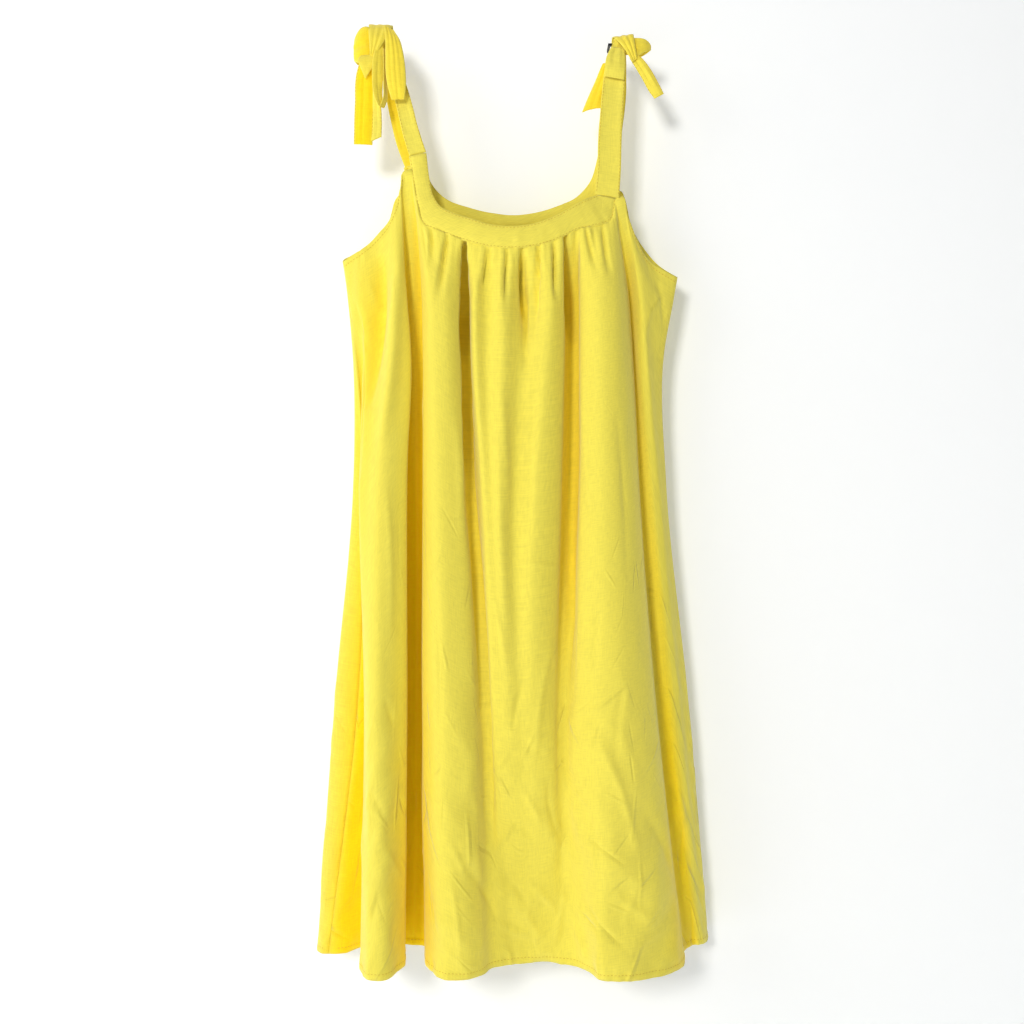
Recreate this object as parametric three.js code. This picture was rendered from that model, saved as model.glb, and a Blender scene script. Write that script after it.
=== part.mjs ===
// A sleeveless cotton sundress with a gathered front, a U-shaped neck band and shoulder ties,
// hanging by its two tied shoulders from two small hooks on a wall.
// Millimetres. X runs to the viewer's right, Z runs up and the front of the dress faces -Y.
// The wall is the plane y = 0, and the origin lies on it, midway between the hooks.

import * as THREE from "three";

// Driving dimensions
const CLOTH_WALL = 1.6;
const BAND_WALL = 2.2;
const SEAM_GAP = 0.3;
const HEM_Z = -1161;
const CHEST_Z = -320;
const BUST_Z = -394;
const WAIST_Z = -559;
const HIP_Z = -831;
const GATHERED_STEP = 3.8;
const SEAM_STEP = 9;
const PLAIN_STEP = 15;
const FEWEST_STEPS = 2;
const STEPS_SPARED_BELOW_GATHERS = 1;
const PANEL_ROWS = 16;
const ROW_CROWDING = 1.25;
const GATHER_HALF_WIDTH = 5;
const SEAM_PULL_DEPTH = 60;
const SEAM_REACH = 7.5;
const PANEL_TOP_GAP = 0.9;

const HOOK_WIRE = 3;
const HOOK_REACH = 70;
const HOOK_STUB = 12;
const HOOK_PLATE = { width: 14, height: 20, thickness: 3 };

const COLOURS = { cloth: 0xf2dc4e, backCloth: 0xe8cc3a, band: 0xf5e25c, wire: 0x2b2b2d, plate: 0xf1efe9 };

// A table is a list of rows under named columns, and each row becomes an object with those names.
function table(columns, rows) {
  return rows.map((row) => Object.fromEntries(columns.map((column, place) => [column, row[place]])));
}

const FOLD_COLUMNS = [
  "name", "topX", "topY", "topZ", "chestX", "chestY", "bustX", "bustY",
  "waistX", "waistY", "hipX", "hipY", "hemX", "hemY",
];

// Crease and crest lines of the front, from the left side seam to the right one.
const FRONT_FOLDS = table(FOLD_COLUMNS, [
  ["side_left", -209, -56, -275, -202, -56, -193, -60, -181, -60, -187, -66, -223, -82],
  ["left_tuck", -197, -62, -269, -195, -62, -187, -62, -169, -54, -169, -60, -181, -60],
  ["fold_a_left", -182, -68, -261, -185, -68, -183, -72, -181, -100, -172, -122, -173, -138],
  ["fold_a_trough", -163, -71, -245, -159, -70, -165, -78, -168, -110, -164, -140, -159, -159],
  ["fold_a_crest", -144, -76, -222, -138, -88, -143, -92, -152, -120, -155, -145, -151, -160],
  ["fold_a_right", -133, -77, -190, -127, -80, -124, -83, -127, -107, -127, -125, -125, -118],
  ["valley_1_left", -127, -77, -164, -127, -52, -126, -50, -128, -50, -130, -48, -128, -50],
  ["valley_1_right", -119, -78, -163, -109, -50, -108, -49, -108, -46, -107, -44, -109, -52],
  ["fold_b_left", -111, -83, -203, -103, -82, -101, -87, -99, -102, -98, -118, -95, -118],
  ["fold_b_crest", -103, -87, -237, -88, -98, -84, -104, -79, -120, -75, -142, -63, -160],
  ["fold_b_flat", -81, -90, -245, -71, -98, -69, -103, -63, -117, -57, -139, -47, -160],
  ["fold_b_right", -62, -92, -252, -58, -88, -57, -93, -48, -108, -39, -130, -27, -146],
  ["valley_2", -50, -92, -257, -51, -58, -50, -60, -39, -80, -25, -112, -11, -120],
  ["fold_c_left", -42, -93, -260, -43, -82, -42, -86, -32, -98, -19, -122, 2, -114],
  ["fold_c_crest_left", -30, -94, -263, -36, -95, -36, -99, -25, -112, -12, -128, 10, -110],
  ["fold_c_trough_left", -17, -94, -265, -21, -87, -23, -93, -16, -112, -3, -130, 19, -109],
  ["fold_c_crest_middle", 1, -95, -267, 0, -98, -1, -103, -6, -118, 7, -131, 28, -108],
  ["fold_c_trough_middle", 25, -94, -266, 24, -82, 22, -92, 13, -106, 19, -129, 38, -107],
  ["fold_c_crest_right", 52, -93, -261, 61, -98, 58, -103, 40, -117, 37, -130, 49, -107],
  ["fold_c_right", 75, -91, -252, 76, -86, 75, -90, 70, -102, 62, -117, 65, -110],
  ["valley_3_left", 82, -90, -248, 81, -56, 81, -57, 78, -68, 70, -102, 75, -113],
  ["valley_3_right", 89, -89, -245, 95, -55, 95, -56, 93, -66, 77, -100, 86, -118],
  ["fold_d_left", 95, -88, -241, 97, -85, 97, -88, 97, -102, 85, -115, 99, -127],
  ["fold_d_crest", 114, -86, -237, 118, -102, 120, -107, 123, -120, 120, -142, 118, -159],
  ["fold_d_flat", 130, -83, -233, 137, -100, 138, -105, 140, -118, 147, -141, 152, -160],
  ["fold_d_edge", 140, -81, -216, 155, -82, 160, -84, 167, -96, 186, -112, 221, -119],
  ["valley_4", 143, -79, -202, 163, -56, 168, -58, 178, -60, 200, -62, 236, -63],
  ["fold_e_left", 149, -77, -196, 168, -67, 172, -70, 186, -67, 210, -65, 244, -56],
  ["fold_e_crest", 160, -74, -227, 174, -78, 179, -78, 194, -69, 222, -63, 252, -52],
  ["fold_e_flat", 185, -66, -273, 192, -71, 191, -70, 203, -62, 231, -52, 261, -43],
  ["side_right", 225, -56, -295, 221, -55, 208, -54, 211, -49, 240, -40, 268, -33],
]);
const FRONT_SEAM = { first: "valley_1_right", last: "valley_4" };
const GATHERED_SPAN = { first: "fold_b_crest", last: "fold_d_flat" };

// The back, in the same order. Its waves run close to the wall.
const BACK_FOLDS = table(FOLD_COLUMNS, [
  ["side_left", -209, -56, -275, -202, -56, -193, -60, -181, -60, -187, -66, -223, -82],
  ["left_bulge", -207, -47, -269, -203, -47, -197, -51, -195, -56, -216, -66, -238, -72],
  ["left_turn", -197, -34, -260, -194, -34, -190, -36, -190, -44, -214, -46, -236, -46],
  ["crest_1", -176, -26, -242, -176, -17, -175, -16, -181, -13, -201, -11, -217, -9],
  ["trough_1", -153, -32, -217, -149, -33, -149, -35, -152, -38, -168, -39, -177, -40],
  ["crest_2", -141, -38, -187, -124, -17, -124, -15, -125, -12, -137, -10, -140, -8],
  ["trough_2", -127, -45, -176, -88, -34, -87, -36, -87, -38, -89, -40, -89, -42],
  ["crest_3", -100, -44, -201, -54, -16, -52, -14, -49, -11, -42, -9, -35, -7],
  ["trough_3", -55, -44, -217, -20, -35, -17, -37, -11, -38, -2, -40, 8, -41],
  ["crest_4", 0, -43, -226, 14, -17, 17, -15, 26, -12, 44, -10, 56, -7],
  ["trough_4", 53, -43, -221, 51, -34, 54, -36, 63, -39, 84, -41, 99, -42],
  ["crest_5", 95, -44, -209, 85, -17, 88, -15, 97, -12, 123, -10, 142, -7],
  ["trough_5", 126, -45, -197, 122, -34, 123, -36, 131, -38, 157, -39, 178, -39],
  ["crest_6", 148, -44, -178, 157, -18, 158, -16, 165, -14, 194, -11, 219, -8],
  ["trough_6", 171, -38, -234, 182, -30, 181, -30, 186, -28, 216, -24, 244, -20],
  ["right_turn", 202, -38, -275, 205, -36, 198, -36, 205, -32, 237, -24, 268, -15],
  ["side_right", 225, -56, -295, 221, -55, 208, -54, 211, -49, 240, -40, 268, -33],
]);
const BACK_SEAM = { first: "trough_2", last: "crest_6" };

// Gathers below the front neck band: place on the seam, depth, length down and drift to the right.
const GATHERS = table(["x", "depth", "length", "drift"], [
  [-103, 2.6, 70, 6],
  [-96, 2.4, 90, 10],
  [-86, 2.6, 60, 2],
  [-74, 2.2, 80, 4],
  [-62, 2.8, 95, 6],
  [-42, 2.2, 70, -4],
  [-33, 2.4, 90, -6],
  [-24, 2.6, 75, -2],
  [-11, 2.2, 85, 0],
  [-2, 2.6, 110, -3],
  [7, 2.4, 80, 2],
  [18, 2.8, 105, 4],
  [29, 2.4, 80, 2],
  [39, 2.2, 70, 0],
  [51, 2.8, 100, -5],
  [60, 2.2, 85, -4],
  [68, 2.6, 80, -2],
  [76, 2.0, 60, 2],
  [101, 2.4, 80, 3],
  [111, 2.8, 95, 9],
  [124, 2.2, 70, 8],
]);

// Neck bands: the lower edge, the neck edge and the depth of each section, from left to right.
const BAND_COLUMNS = ["name", "lowX", "lowZ", "neckX", "neckZ", "y"];
const FRONT_BAND = table(BAND_COLUMNS, [
  ["strap_seam_left", -121, -146, -99, -141, -78],
  ["arm_left", -116, -176, -95, -174, -80],
  ["arm_low_left", -110, -209, -89, -199, -84],
  ["corner_left", -102, -235, -80, -212, -87],
  ["turn_left", -85, -243, -66, -220, -90],
  ["low_left", -60, -253, -43, -228, -92],
  ["centre_left", -28, -263, -18, -236, -94],
  ["centre", 5, -267, 8, -239, -95],
  ["centre_right", 38, -264, 34, -236, -94],
  ["low_right", 68, -255, 60, -227, -92],
  ["turn_right", 93, -242, 82, -215, -89],
  ["corner_right", 116, -237, 98, -205, -86],
  ["arm_right", 136, -229, 110, -199, -82],
  ["strap_seam_right", 143, -200, 119, -196, -79],
]);
const BACK_BAND = table(BAND_COLUMNS, [
  ["strap_seam_left", -131, -150, -103, -141, -46],
  ["arm_left", -125, -178, -95, -170, -45],
  ["turn_left", -104, -200, -76, -190, -44],
  ["low_left", -68, -214, -47, -201, -44],
  ["centre_left", -28, -223, -17, -208, -43],
  ["centre", 10, -226, 12, -211, -43],
  ["centre_right", 47, -222, 40, -208, -43],
  ["low_right", 81, -214, 68, -200, -44],
  ["turn_right", 117, -201, 94, -188, -44],
  ["arm_right", 144, -183, 112, -168, -45],
  ["strap_low_right", 151, -150, 121, -140, -46],
  ["strap_seam_right", 152, -114, 125, -114, -47],
]);

// Ribbons: straps, loops and tails. Each row is a section of one ribbon, from its sewn end on:
// its centre, its width, the turn of its width from X towards Y and its tilt towards Z, in
// degrees, and how far its middle stands proud of its edges.
const RIBBON_COLUMNS = ["x", "y", "z", "width", "turn", "tilt", "crown"];
const RIBBONS = {
  strap_front_left: table(RIBBON_COLUMNS, [
    [-110, -78.2, -142.6, 22, 0, 13, 0],
    [-119.5, -79.5, -112, 21, 0, 16, 1],
    [-127, -80, -81, 20, 0, 15, 1.5],
    [-136, -79, -49, 18, 0, 18, 2],
    [-145, -77, -26, 15, 0, 20, 2],
    [-153, -72.9, 0, 12, 0, 12, 0],
    [-156, -72.4, 15.2, 11, 0, 8, 0],
  ]),
  strap_back_left: table(RIBBON_COLUMNS, [
    [-117.3, -46.2, -144.2, 27, 0, 18, 0],
    [-129, -48, -114, 25, 0, 19, 1],
    [-138, -51, -82, 22, 0, 16, 1],
    [-146, -55.5, -50, 18, 0, 14, 1],
    [-153, -61, -22, 14, 0, 14, 0],
    [-157, -67.2, 0, 12, 0, 10, 0],
    [-158, -68.6, 12.6, 11, 0, 6, 0],
  ]),
  strap_front_right: table(RIBBON_COLUMNS, [
    [131.4, -79.2, -197, 25, 0, -9, 0],
    [134, -80, -163, 25, 0, 1, 1],
    [135, -80, -125, 25, 0, -3, 1.5],
    [138, -79.5, -93, 24.5, 0, -5, 1.5],
    [141, -78, -55, 23, 0, -4, 1.5],
    [143.5, -76, -26, 20, 0, -8, 1],
    [148, -72.9, 0, 14, 0, -6, 0],
    [149, -72.4, 4.2, 13, 0, -4, 0],
  ]),
  strap_back_right: table(RIBBON_COLUMNS, [
    [138.6, -47.1, -113.4, 27, 0, 0, 0],
    [142, -48.5, -92, 26, 0, -6, 1],
    [146.5, -53, -57, 24, 0, -5, 1],
    [149.5, -60, -22, 17, 0, -4, 0],
    [151, -66.9, 0, 13, 0, -3, 0],
    [151.5, -68, 2.8, 12, 0, 0, 0],
  ]),
  knot_left_wrap: table(RIBBON_COLUMNS, [
    [-157, -62, -6, 20, 0, 0, 0],
    [-158, -63.5, 9, 22, 0, 0, 0],
    [-159, -71.5, 18, 23, 0, 0, 0],
    [-160, -80, 11, 21, 0, 4, 1],
    [-163, -83, -3, 16, 0, 10, 1.5],
    [-167, -83, -15, 9, 0, 14, 1],
    [-169, -82, -23, 5, 0, 14, 0],
  ]),
  bow_left_round: table(RIBBON_COLUMNS, [
    [-171, -78.5, -5, 28, 0, 90, 0],
    [-178, -80.5, -7, 38, 0, 90, 0],
    [-186, -78.5, -8, 36, 0, 90, 0],
    [-190, -73.5, -9, 30, 0, 90, 0],
    [-186, -68.5, -8, 34, 0, 90, 0],
    [-178, -66.5, -6, 34, 0, 90, 0],
    [-169, -68, -3, 24, 0, 90, 0],
  ]),
  tie_end_left: table(RIBBON_COLUMNS, [
    [-171, -80.5, -25.7, 16, 0, 8, 0],
    [-171.5, -84, -35.7, 17, 0, 12, 1],
    [-173, -84.5, -47.7, 5, 0, 20, 0],
  ]),
  tail_left_wide: table(RIBBON_COLUMNS, [
    [-174, -78.8, -28.6, 15, 0, 0, 0],
    [-177, -79.5, -50, 21, -6, 0, 3],
    [-178, -79.6, -77, 22, -8, 0, 4],
    [-180, -79.1, -105, 22, -6, 0, 4],
    [-180.5, -78.6, -131, 19, -4, -4, 3],
  ]),
  tail_left_narrow: table(RIBBON_COLUMNS, [
    [-159.5, -79.5, -18, 10, -55, 0, 0],
    [-160.2, -80, -42, 17, -64, 0, 0.5],
    [-160.8, -79, -70, 19, -66, 0, 1],
    [-161.5, -78.5, -100, 20, -64, 0, 1],
    [-163, -78.5, -127, 18, -60, 0, 1],
  ]),
  loop_left_narrow: table(RIBBON_COLUMNS, [
    [-153, -87.1, -13, 10, 90, 0, 0],
    [-154, -89.1, -35, 17, 90, 0, 0],
    [-154, -89.1, -64, 18, 90, 0, 0],
    [-152.4, -89.1, -82, 17, 90, 0, 0],
    [-149.4, -89.1, -88, 16, 90, 0, 0],
    [-146.6, -89.1, -82, 17, 90, 0, 0],
    [-145.8, -89.1, -62, 18, 90, 0, 0],
    [-146.6, -88.6, -38, 16, 90, 0, 0],
    [-149, -87.1, -15, 9, 90, 0, 0],
  ]),
  loop_left_drape: table(RIBBON_COLUMNS, [
    [-142.4, -83, 9, 10, 0, -20, 0],
    [-138.9, -88, -8, 13, 0, -6, 1],
    [-137.4, -90.5, -28, 15, 0, 0, 1.5],
    [-135.4, -91, -48, 18, 0, 3, 1.5],
    [-133.9, -90.5, -64, 19, 0, 3, 1],
    [-133.7, -87.5, -75, 15, 0, 3, 0],
    [-134.5, -84.6, -66, 16, 0, 3, 0],
    [-136.4, -83.6, -46, 15, 0, 3, 0],
    [-139.4, -82.4, -22, 12, 0, -4, 0],
    [-143.9, -80.6, -2, 8, 0, -10, 0],
  ]),
  knot_right_wrap: table(RIBBON_COLUMNS, [
    [152, -61, -9, 18, 0, 0, 0],
    [153, -62.5, 0, 20, 0, 0, 0],
    [154, -70.5, 7, 20, 0, 0, 0],
    [155.5, -79, 1, 19, 0, -6, 1],
    [158.5, -81.6, -9, 15, 0, -20, 1],
    [162, -81.6, -18, 10, 0, -30, 0.5],
    [164.5, -81, -24, 7, 0, -30, 0],
  ]),
  fold_right_over: table(RIBBON_COLUMNS, [
    [145, -78.6, -12, 15, 0, -8, 0],
    [142, -80.4, -26, 20, 0, -6, 1],
    [141, -80.6, -38, 21, 0, -10, 1],
    [140.6, -79.4, -46, 20, 0, -14, 0],
  ]),
  bow_right_loop: table(RIBBON_COLUMNS, [
    [165.6, -77.5, -8, 18, 0, 90, 0],
    [174, -78.5, -7.5, 16, 0, 90, 0],
    [181, -77.5, -5.5, 12, 0, 90, 0],
    [185.6, -74.5, -4, 8, 0, 90, 0],
    [186.6, -71.8, -3.6, 7, 0, 90, 0],
    [184, -69.4, -4, 9, 0, 90, 0],
    [175, -67.6, -7, 13, 0, 90, 0],
    [164.9, -68, -8, 14, 0, 90, 0],
  ]),
  tail_right_long: table(RIBBON_COLUMNS, [
    [170.4, -76, -22, 11, 50, 0, 0],
    [179.5, -76.5, -32, 19, 60, 0, 0],
    [187, -76, -46, 21, 64, 0, 1],
    [193, -76, -57, 21, 62, 0, 1],
    [197.5, -76, -65, 17, 58, 0, 0],
  ]),
  tail_right_back: table(RIBBON_COLUMNS, [
    [131.5, -71.9, -24, 8, -20, 0, 0],
    [126, -67, -44, 14, -20, 10, 3],
    [119.5, -65, -64, 20, -20, 12, 5],
    [114.5, -64, -81, 23, -20, 8, 6],
  ]),
};
const RIBBON_STEPS = 2;
const RIBBON_CROSS = 3;

// Hook wires: the corners of each wire, from its wall plate to its tip.
const HOOKS = {
  left: { plateX: -161, bendX: -141, bendY: -50, tipX: -167 },
  right: { plateX: 150, bendX: 135, bendY: -52, tipX: 163 },
};

// Smooth curves through given points

// The slope at a knot is the mean of its two neighbouring slopes, weighted by the nearer one.
function knotSlopes(knots, values) {
  return values.map((value, i) => {
    const before = i > 0 ? (value - values[i - 1]) / (knots[i] - knots[i - 1]) : null;
    const after = i < values.length - 1 ? (values[i + 1] - value) / (knots[i + 1] - knots[i]) : null;
    if (before === null) return after;
    if (after === null) return before;
    const gapBefore = knots[i] - knots[i - 1];
    const gapAfter = knots[i + 1] - knots[i];
    return (before * gapAfter + after * gapBefore) / (gapBefore + gapAfter);
  });
}

// A cubic between two knots from their values and slopes.
function cubic(start, end, startSlope, endSlope, span, t) {
  const t2 = t * t;
  const t3 = t2 * t;
  return (2 * t3 - 3 * t2 + 1) * start + (t3 - 2 * t2 + t) * span * startSlope
    + (3 * t2 - 2 * t3) * end + (t3 - t2) * span * endSlope;
}

// A function of one number that passes through all the values at their knots.
function smooth(knots, values) {
  const slopes = knotSlopes(knots, values);
  return (at) => {
    let i = 0;
    while (i < knots.length - 2 && at > knots[i + 1]) i += 1;
    const span = knots[i + 1] - knots[i];
    const t = Math.min(1, Math.max(0, (at - knots[i]) / span));
    return cubic(values[i], values[i + 1], slopes[i], slopes[i + 1], span, t);
  };
}

// A curve through points in space, cut into the given number of steps between each two points.
// Distance along the points is the parameter, so that uneven spacing makes no loops.
function curveThrough(points, stepsPerSpan) {
  const knots = [0];
  for (let i = 1; i < points.length; i += 1) {
    knots.push(knots[i - 1] + points[i].distanceTo(points[i - 1]));
  }
  const axes = ["x", "y", "z"];
  const slopes = axes.map((axis) => knotSlopes(knots, points.map((point) => point[axis])));
  const curve = [];
  const addPoint = (i, t) => curve.push(new THREE.Vector3(...axes.map((axis, k) =>
    cubic(points[i][axis], points[i + 1][axis], slopes[k][i], slopes[k][i + 1], knots[i + 1] - knots[i], t))));
  for (let i = 0; i < points.length - 1; i += 1) {
    for (let step = 0; step < stepsPerSpan[i]; step += 1) addPoint(i, step / stepsPerSpan[i]);
  }
  addPoint(points.length - 2, 1);
  return curve;
}

// The same for a closed ring: the points run on past both ends, and only the ring is kept.
function ringThrough(points, stepsPerSpan) {
  const open = [points.at(-1), ...points, points[0], points[1]];
  const curve = curveThrough(open, [1, ...stepsPerSpan, 1]);
  return curve.slice(1, -2);
}

// Walls of cloth

// The normals of a grid of points. On a ring the last column is followed by the first.
function gridNormals(grid, isRing = false) {
  const last = grid.length - 1;
  const beside = (i, step) => (isRing ? (i + step + last + 1) % (last + 1) : Math.min(last, Math.max(0, i + step)));
  return grid.map((column, i) => column.map((point, j) => {
    const across = new THREE.Vector3().subVectors(grid[beside(i, 1)][j], grid[beside(i, -1)][j]);
    const down = new THREE.Vector3().subVectors(
      column[Math.min(column.length - 1, j + 1)], column[Math.max(0, j - 1)]);
    return across.cross(down).normalize();
  }));
}

// The middle surface is a grid of points. A wall of the given thickness stands around it, half
// on each side along the surface's normals, and its four edges are closed.
function clothWall(grid, thickness, normals = gridNormals(grid)) {
  const columns = grid.length;
  const rows = grid[0].length;
  const points = [];
  for (const side of [0.5, -0.5]) {
    for (let i = 0; i < columns; i += 1) {
      for (let j = 0; j < rows; j += 1) {
        points.push(grid[i][j].clone().addScaledVector(normals[i][j], side * thickness));
      }
    }
  }
  const at = (side, i, j) => side * columns * rows + i * rows + j;
  const faces = [];
  const quad = (a, b, c, d) => faces.push(a, b, c, a, c, d);
  for (let i = 0; i < columns - 1; i += 1) {
    for (let j = 0; j < rows - 1; j += 1) {
      quad(at(0, i, j), at(0, i + 1, j), at(0, i + 1, j + 1), at(0, i, j + 1));
      quad(at(1, i, j), at(1, i, j + 1), at(1, i + 1, j + 1), at(1, i + 1, j));
    }
  }
  for (let i = 0; i < columns - 1; i += 1) {
    quad(at(0, i, 0), at(1, i, 0), at(1, i + 1, 0), at(0, i + 1, 0));
    quad(at(0, i + 1, rows - 1), at(1, i + 1, rows - 1), at(1, i, rows - 1), at(0, i, rows - 1));
  }
  for (let j = 0; j < rows - 1; j += 1) {
    quad(at(0, 0, j + 1), at(1, 0, j + 1), at(1, 0, j), at(0, 0, j));
    quad(at(0, columns - 1, j), at(1, columns - 1, j), at(1, columns - 1, j + 1), at(0, columns - 1, j + 1));
  }
  const geometry = new THREE.BufferGeometry();
  geometry.setAttribute("position", new THREE.Float32BufferAttribute(points.flatMap((p) => p.toArray()), 3));
  geometry.setIndex(faces);
  geometry.computeVertexNormals();
  return geometry;
}

function piece(name, geometry, colour, roughness = 0.85, metalness = 0) {
  const material = new THREE.MeshStandardMaterial({ color: colour, roughness, metalness });
  const mesh = new THREE.Mesh(geometry, material);
  mesh.name = name;
  return mesh;
}

// Neck bands

// A band is ruled between its lower edge and its neck edge.
function bandEdges(sections, stepsPerSpan) {
  const steps = sections.slice(1).map(() => stepsPerSpan);
  return {
    low: curveThrough(sections.map((row) => new THREE.Vector3(row.lowX, row.y, row.lowZ)), steps),
    neck: curveThrough(sections.map((row) => new THREE.Vector3(row.neckX, row.y, row.neckZ)), steps),
  };
}

const BAND_STEPS = 3;
const BAND_CROSS = 3;
const BAND_CROWN = 1.2;
function bandGeometry(sections) {
  const { low, neck } = bandEdges(sections, BAND_STEPS);
  const grid = low.map((lowPoint, i) => {
    const line = [];
    for (let j = 0; j <= BAND_CROSS; j += 1) {
      const t = j / BAND_CROSS;
      const point = new THREE.Vector3().lerpVectors(neck[i], lowPoint, t);
      point.y -= BAND_CROWN * 4 * t * (1 - t);
      line.push(point);
    }
    return line;
  });
  return clothWall(grid, BAND_WALL);
}

// Panels

const smoothStep = (t) => t * t * (3 - 2 * t);

// Gathers push the cloth back in narrow troughs that start at the band and die out below it.
function gatherDepth(x, drop) {
  return GATHERS.reduce((depth, gather) => {
    const run = drop / gather.length;
    if (run <= 0 || run >= 1) return depth;
    const off = (x - gather.x - gather.drift * run) / GATHER_HALF_WIDTH;
    if (Math.abs(off) >= 1) return depth;
    return depth + gather.depth * Math.sin(Math.PI * Math.sqrt(run)) * Math.cos(Math.PI * off / 2) ** 2;
  }, 0);
}

// The nearest point of a band's lower edge, moved out of the band by the given gap.
function seamPoint(edge, point, gap) {
  let best = null;
  for (let i = 0; i < edge.length - 1; i += 1) {
    const along = new THREE.Vector3().subVectors(edge[i + 1], edge[i]);
    const ahead = new THREE.Vector3().subVectors(point, edge[i]).dot(along) / along.lengthSq();
    const near = edge[i].clone().addScaledVector(along, Math.min(1, Math.max(0, ahead)));
    const far = near.distanceTo(point);
    const outward = new THREE.Vector3(along.z, 0, -along.x).normalize();
    if (!best || far < best.far) best = { far, near, outward };
  }
  return best.near.addScaledVector(best.outward, gap);
}

// Each fold line is a curve down the panel, from the top edge to the hem.
function foldLine(fold) {
  const levels = [fold.topZ, CHEST_Z, BUST_Z, WAIST_Z, HIP_Z, HEM_Z].map((z) => -z);
  const x = smooth(levels, [fold.topX, fold.chestX, fold.bustX, fold.waistX, fold.hipX, fold.hemX]);
  const y = smooth(levels, [fold.topY, fold.chestY, fold.bustY, fold.waistY, fold.hipY, fold.hemY]);
  const line = [];
  for (let j = 0; j <= PANEL_ROWS; j += 1) {
    const z = fold.topZ + (HEM_Z - fold.topZ) * (j / PANEL_ROWS) ** ROW_CROWDING;
    line.push(new THREE.Vector3(x(-z), y(-z), z));
  }
  return line;
}

// How many columns lie between two neighbouring fold lines.
function columnsBetween(line, next, isSeam, isGathered) {
  const middle = Math.floor(PANEL_ROWS / 2);
  const plain = Math.max(FEWEST_STEPS, next[middle].distanceTo(line[middle]) / PLAIN_STEP);
  const top = next[0].distanceTo(line[0]);
  if (isGathered) return Math.round(Math.max(plain - STEPS_SPARED_BELOW_GATHERS, top / GATHERED_STEP));
  return Math.round(isSeam ? Math.max(plain, top / SEAM_STEP) : plain);
}

// One ring of cloth runs round the body: the front's fold lines from left to right, then the
// back's from right to left. The two side lines belong to both.
function bodyRing() {
  const inSpan = (folds, span, i) => {
    const place = (name) => folds.findIndex((fold) => fold.name === name);
    return i >= place(span.first) && i < place(span.last);
  };
  const spans = (folds, seam, gathered) => {
    const lines = folds.map((fold) => foldLine(fold));
    const steps = lines.slice(1).map((line, i) =>
      columnsBetween(lines[i], line, inSpan(folds, seam, i), gathered && inSpan(folds, gathered, i)));
    return { lines, steps };
  };
  const front = spans(FRONT_FOLDS, FRONT_SEAM, GATHERED_SPAN);
  const back = spans(BACK_FOLDS, BACK_SEAM, null);
  const lines = [...front.lines, ...back.lines.slice(1, -1).reverse()];
  const steps = [...front.steps, ...back.steps.reverse()];
  const rows = lines[0].map((point, j) => ringThrough(lines.map((line) => line[j]), steps));
  const total = (list) => list.reduce((sum, step) => sum + step, 0);
  return { columns: rows[0].map((point, i) => rows.map((row) => row[i])), frontCount: total(front.steps) };
}

// Draws a column's top onto a band's lower edge, and fades the move out below.
function drawToSeam(column, edge, gap) {
  const pull = seamPoint(edge, column[0], gap).sub(column[0]);
  const topZ = column[0].z;
  for (const point of column) {
    const drop = topZ - point.z;
    point.addScaledVector(pull, 1 - smoothStep(Math.min(1, drop / SEAM_PULL_DEPTH)));
  }
}

// The front and back panels are the two halves of the ring. Their side edges stop half a seam
// gap short of the side seams, and their walls share the ring's normals there.
function panels() {
  const { columns, frontCount } = bodyRing();
  const frontEdge = bandEdges(FRONT_BAND, BAND_STEPS).low;
  const backEdge = bandEdges(BACK_BAND, BAND_STEPS).low;
  columns.forEach((column, i) => {
    const isFront = i > 0 && i < frontCount;
    const edge = isFront ? frontEdge : backEdge;
    const top = column[0];
    if (i === frontCount || i === 0 || seamPoint(edge, top, 0).distanceTo(top) > SEAM_REACH) return;
    drawToSeam(column, edge, PANEL_TOP_GAP);
    if (!isFront) return;
    const topZ = column[0].z;
    for (const point of column) point.y += gatherDepth(point.x, topZ - point.z);
  });
  const normals = gridNormals(columns, true);
  const wallOf = (first, count) => {
    const ringPlace = (i) => (i + columns.length) % columns.length;
    const places = Array.from({ length: count + 1 }, (unused, k) => ringPlace(first + k));
    const grid = places.map((i) => columns[i].map((point) => point.clone()));
    for (const [end, inward] of [[0, 1], [count, -1]]) {
      const before = columns[ringPlace(first + end - 1)];
      const after = columns[ringPlace(first + end + 1)];
      grid[end].forEach((point, j) => {
        const along = new THREE.Vector3().subVectors(after[j], before[j]).normalize();
        point.addScaledVector(along, inward * SEAM_GAP / 2);
      });
    }
    return clothWall(grid, CLOTH_WALL, places.map((i) => normals[i]));
  };
  return { front: wallOf(0, frontCount), back: wallOf(frontCount, columns.length - frontCount) };
}

// Ribbons

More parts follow.
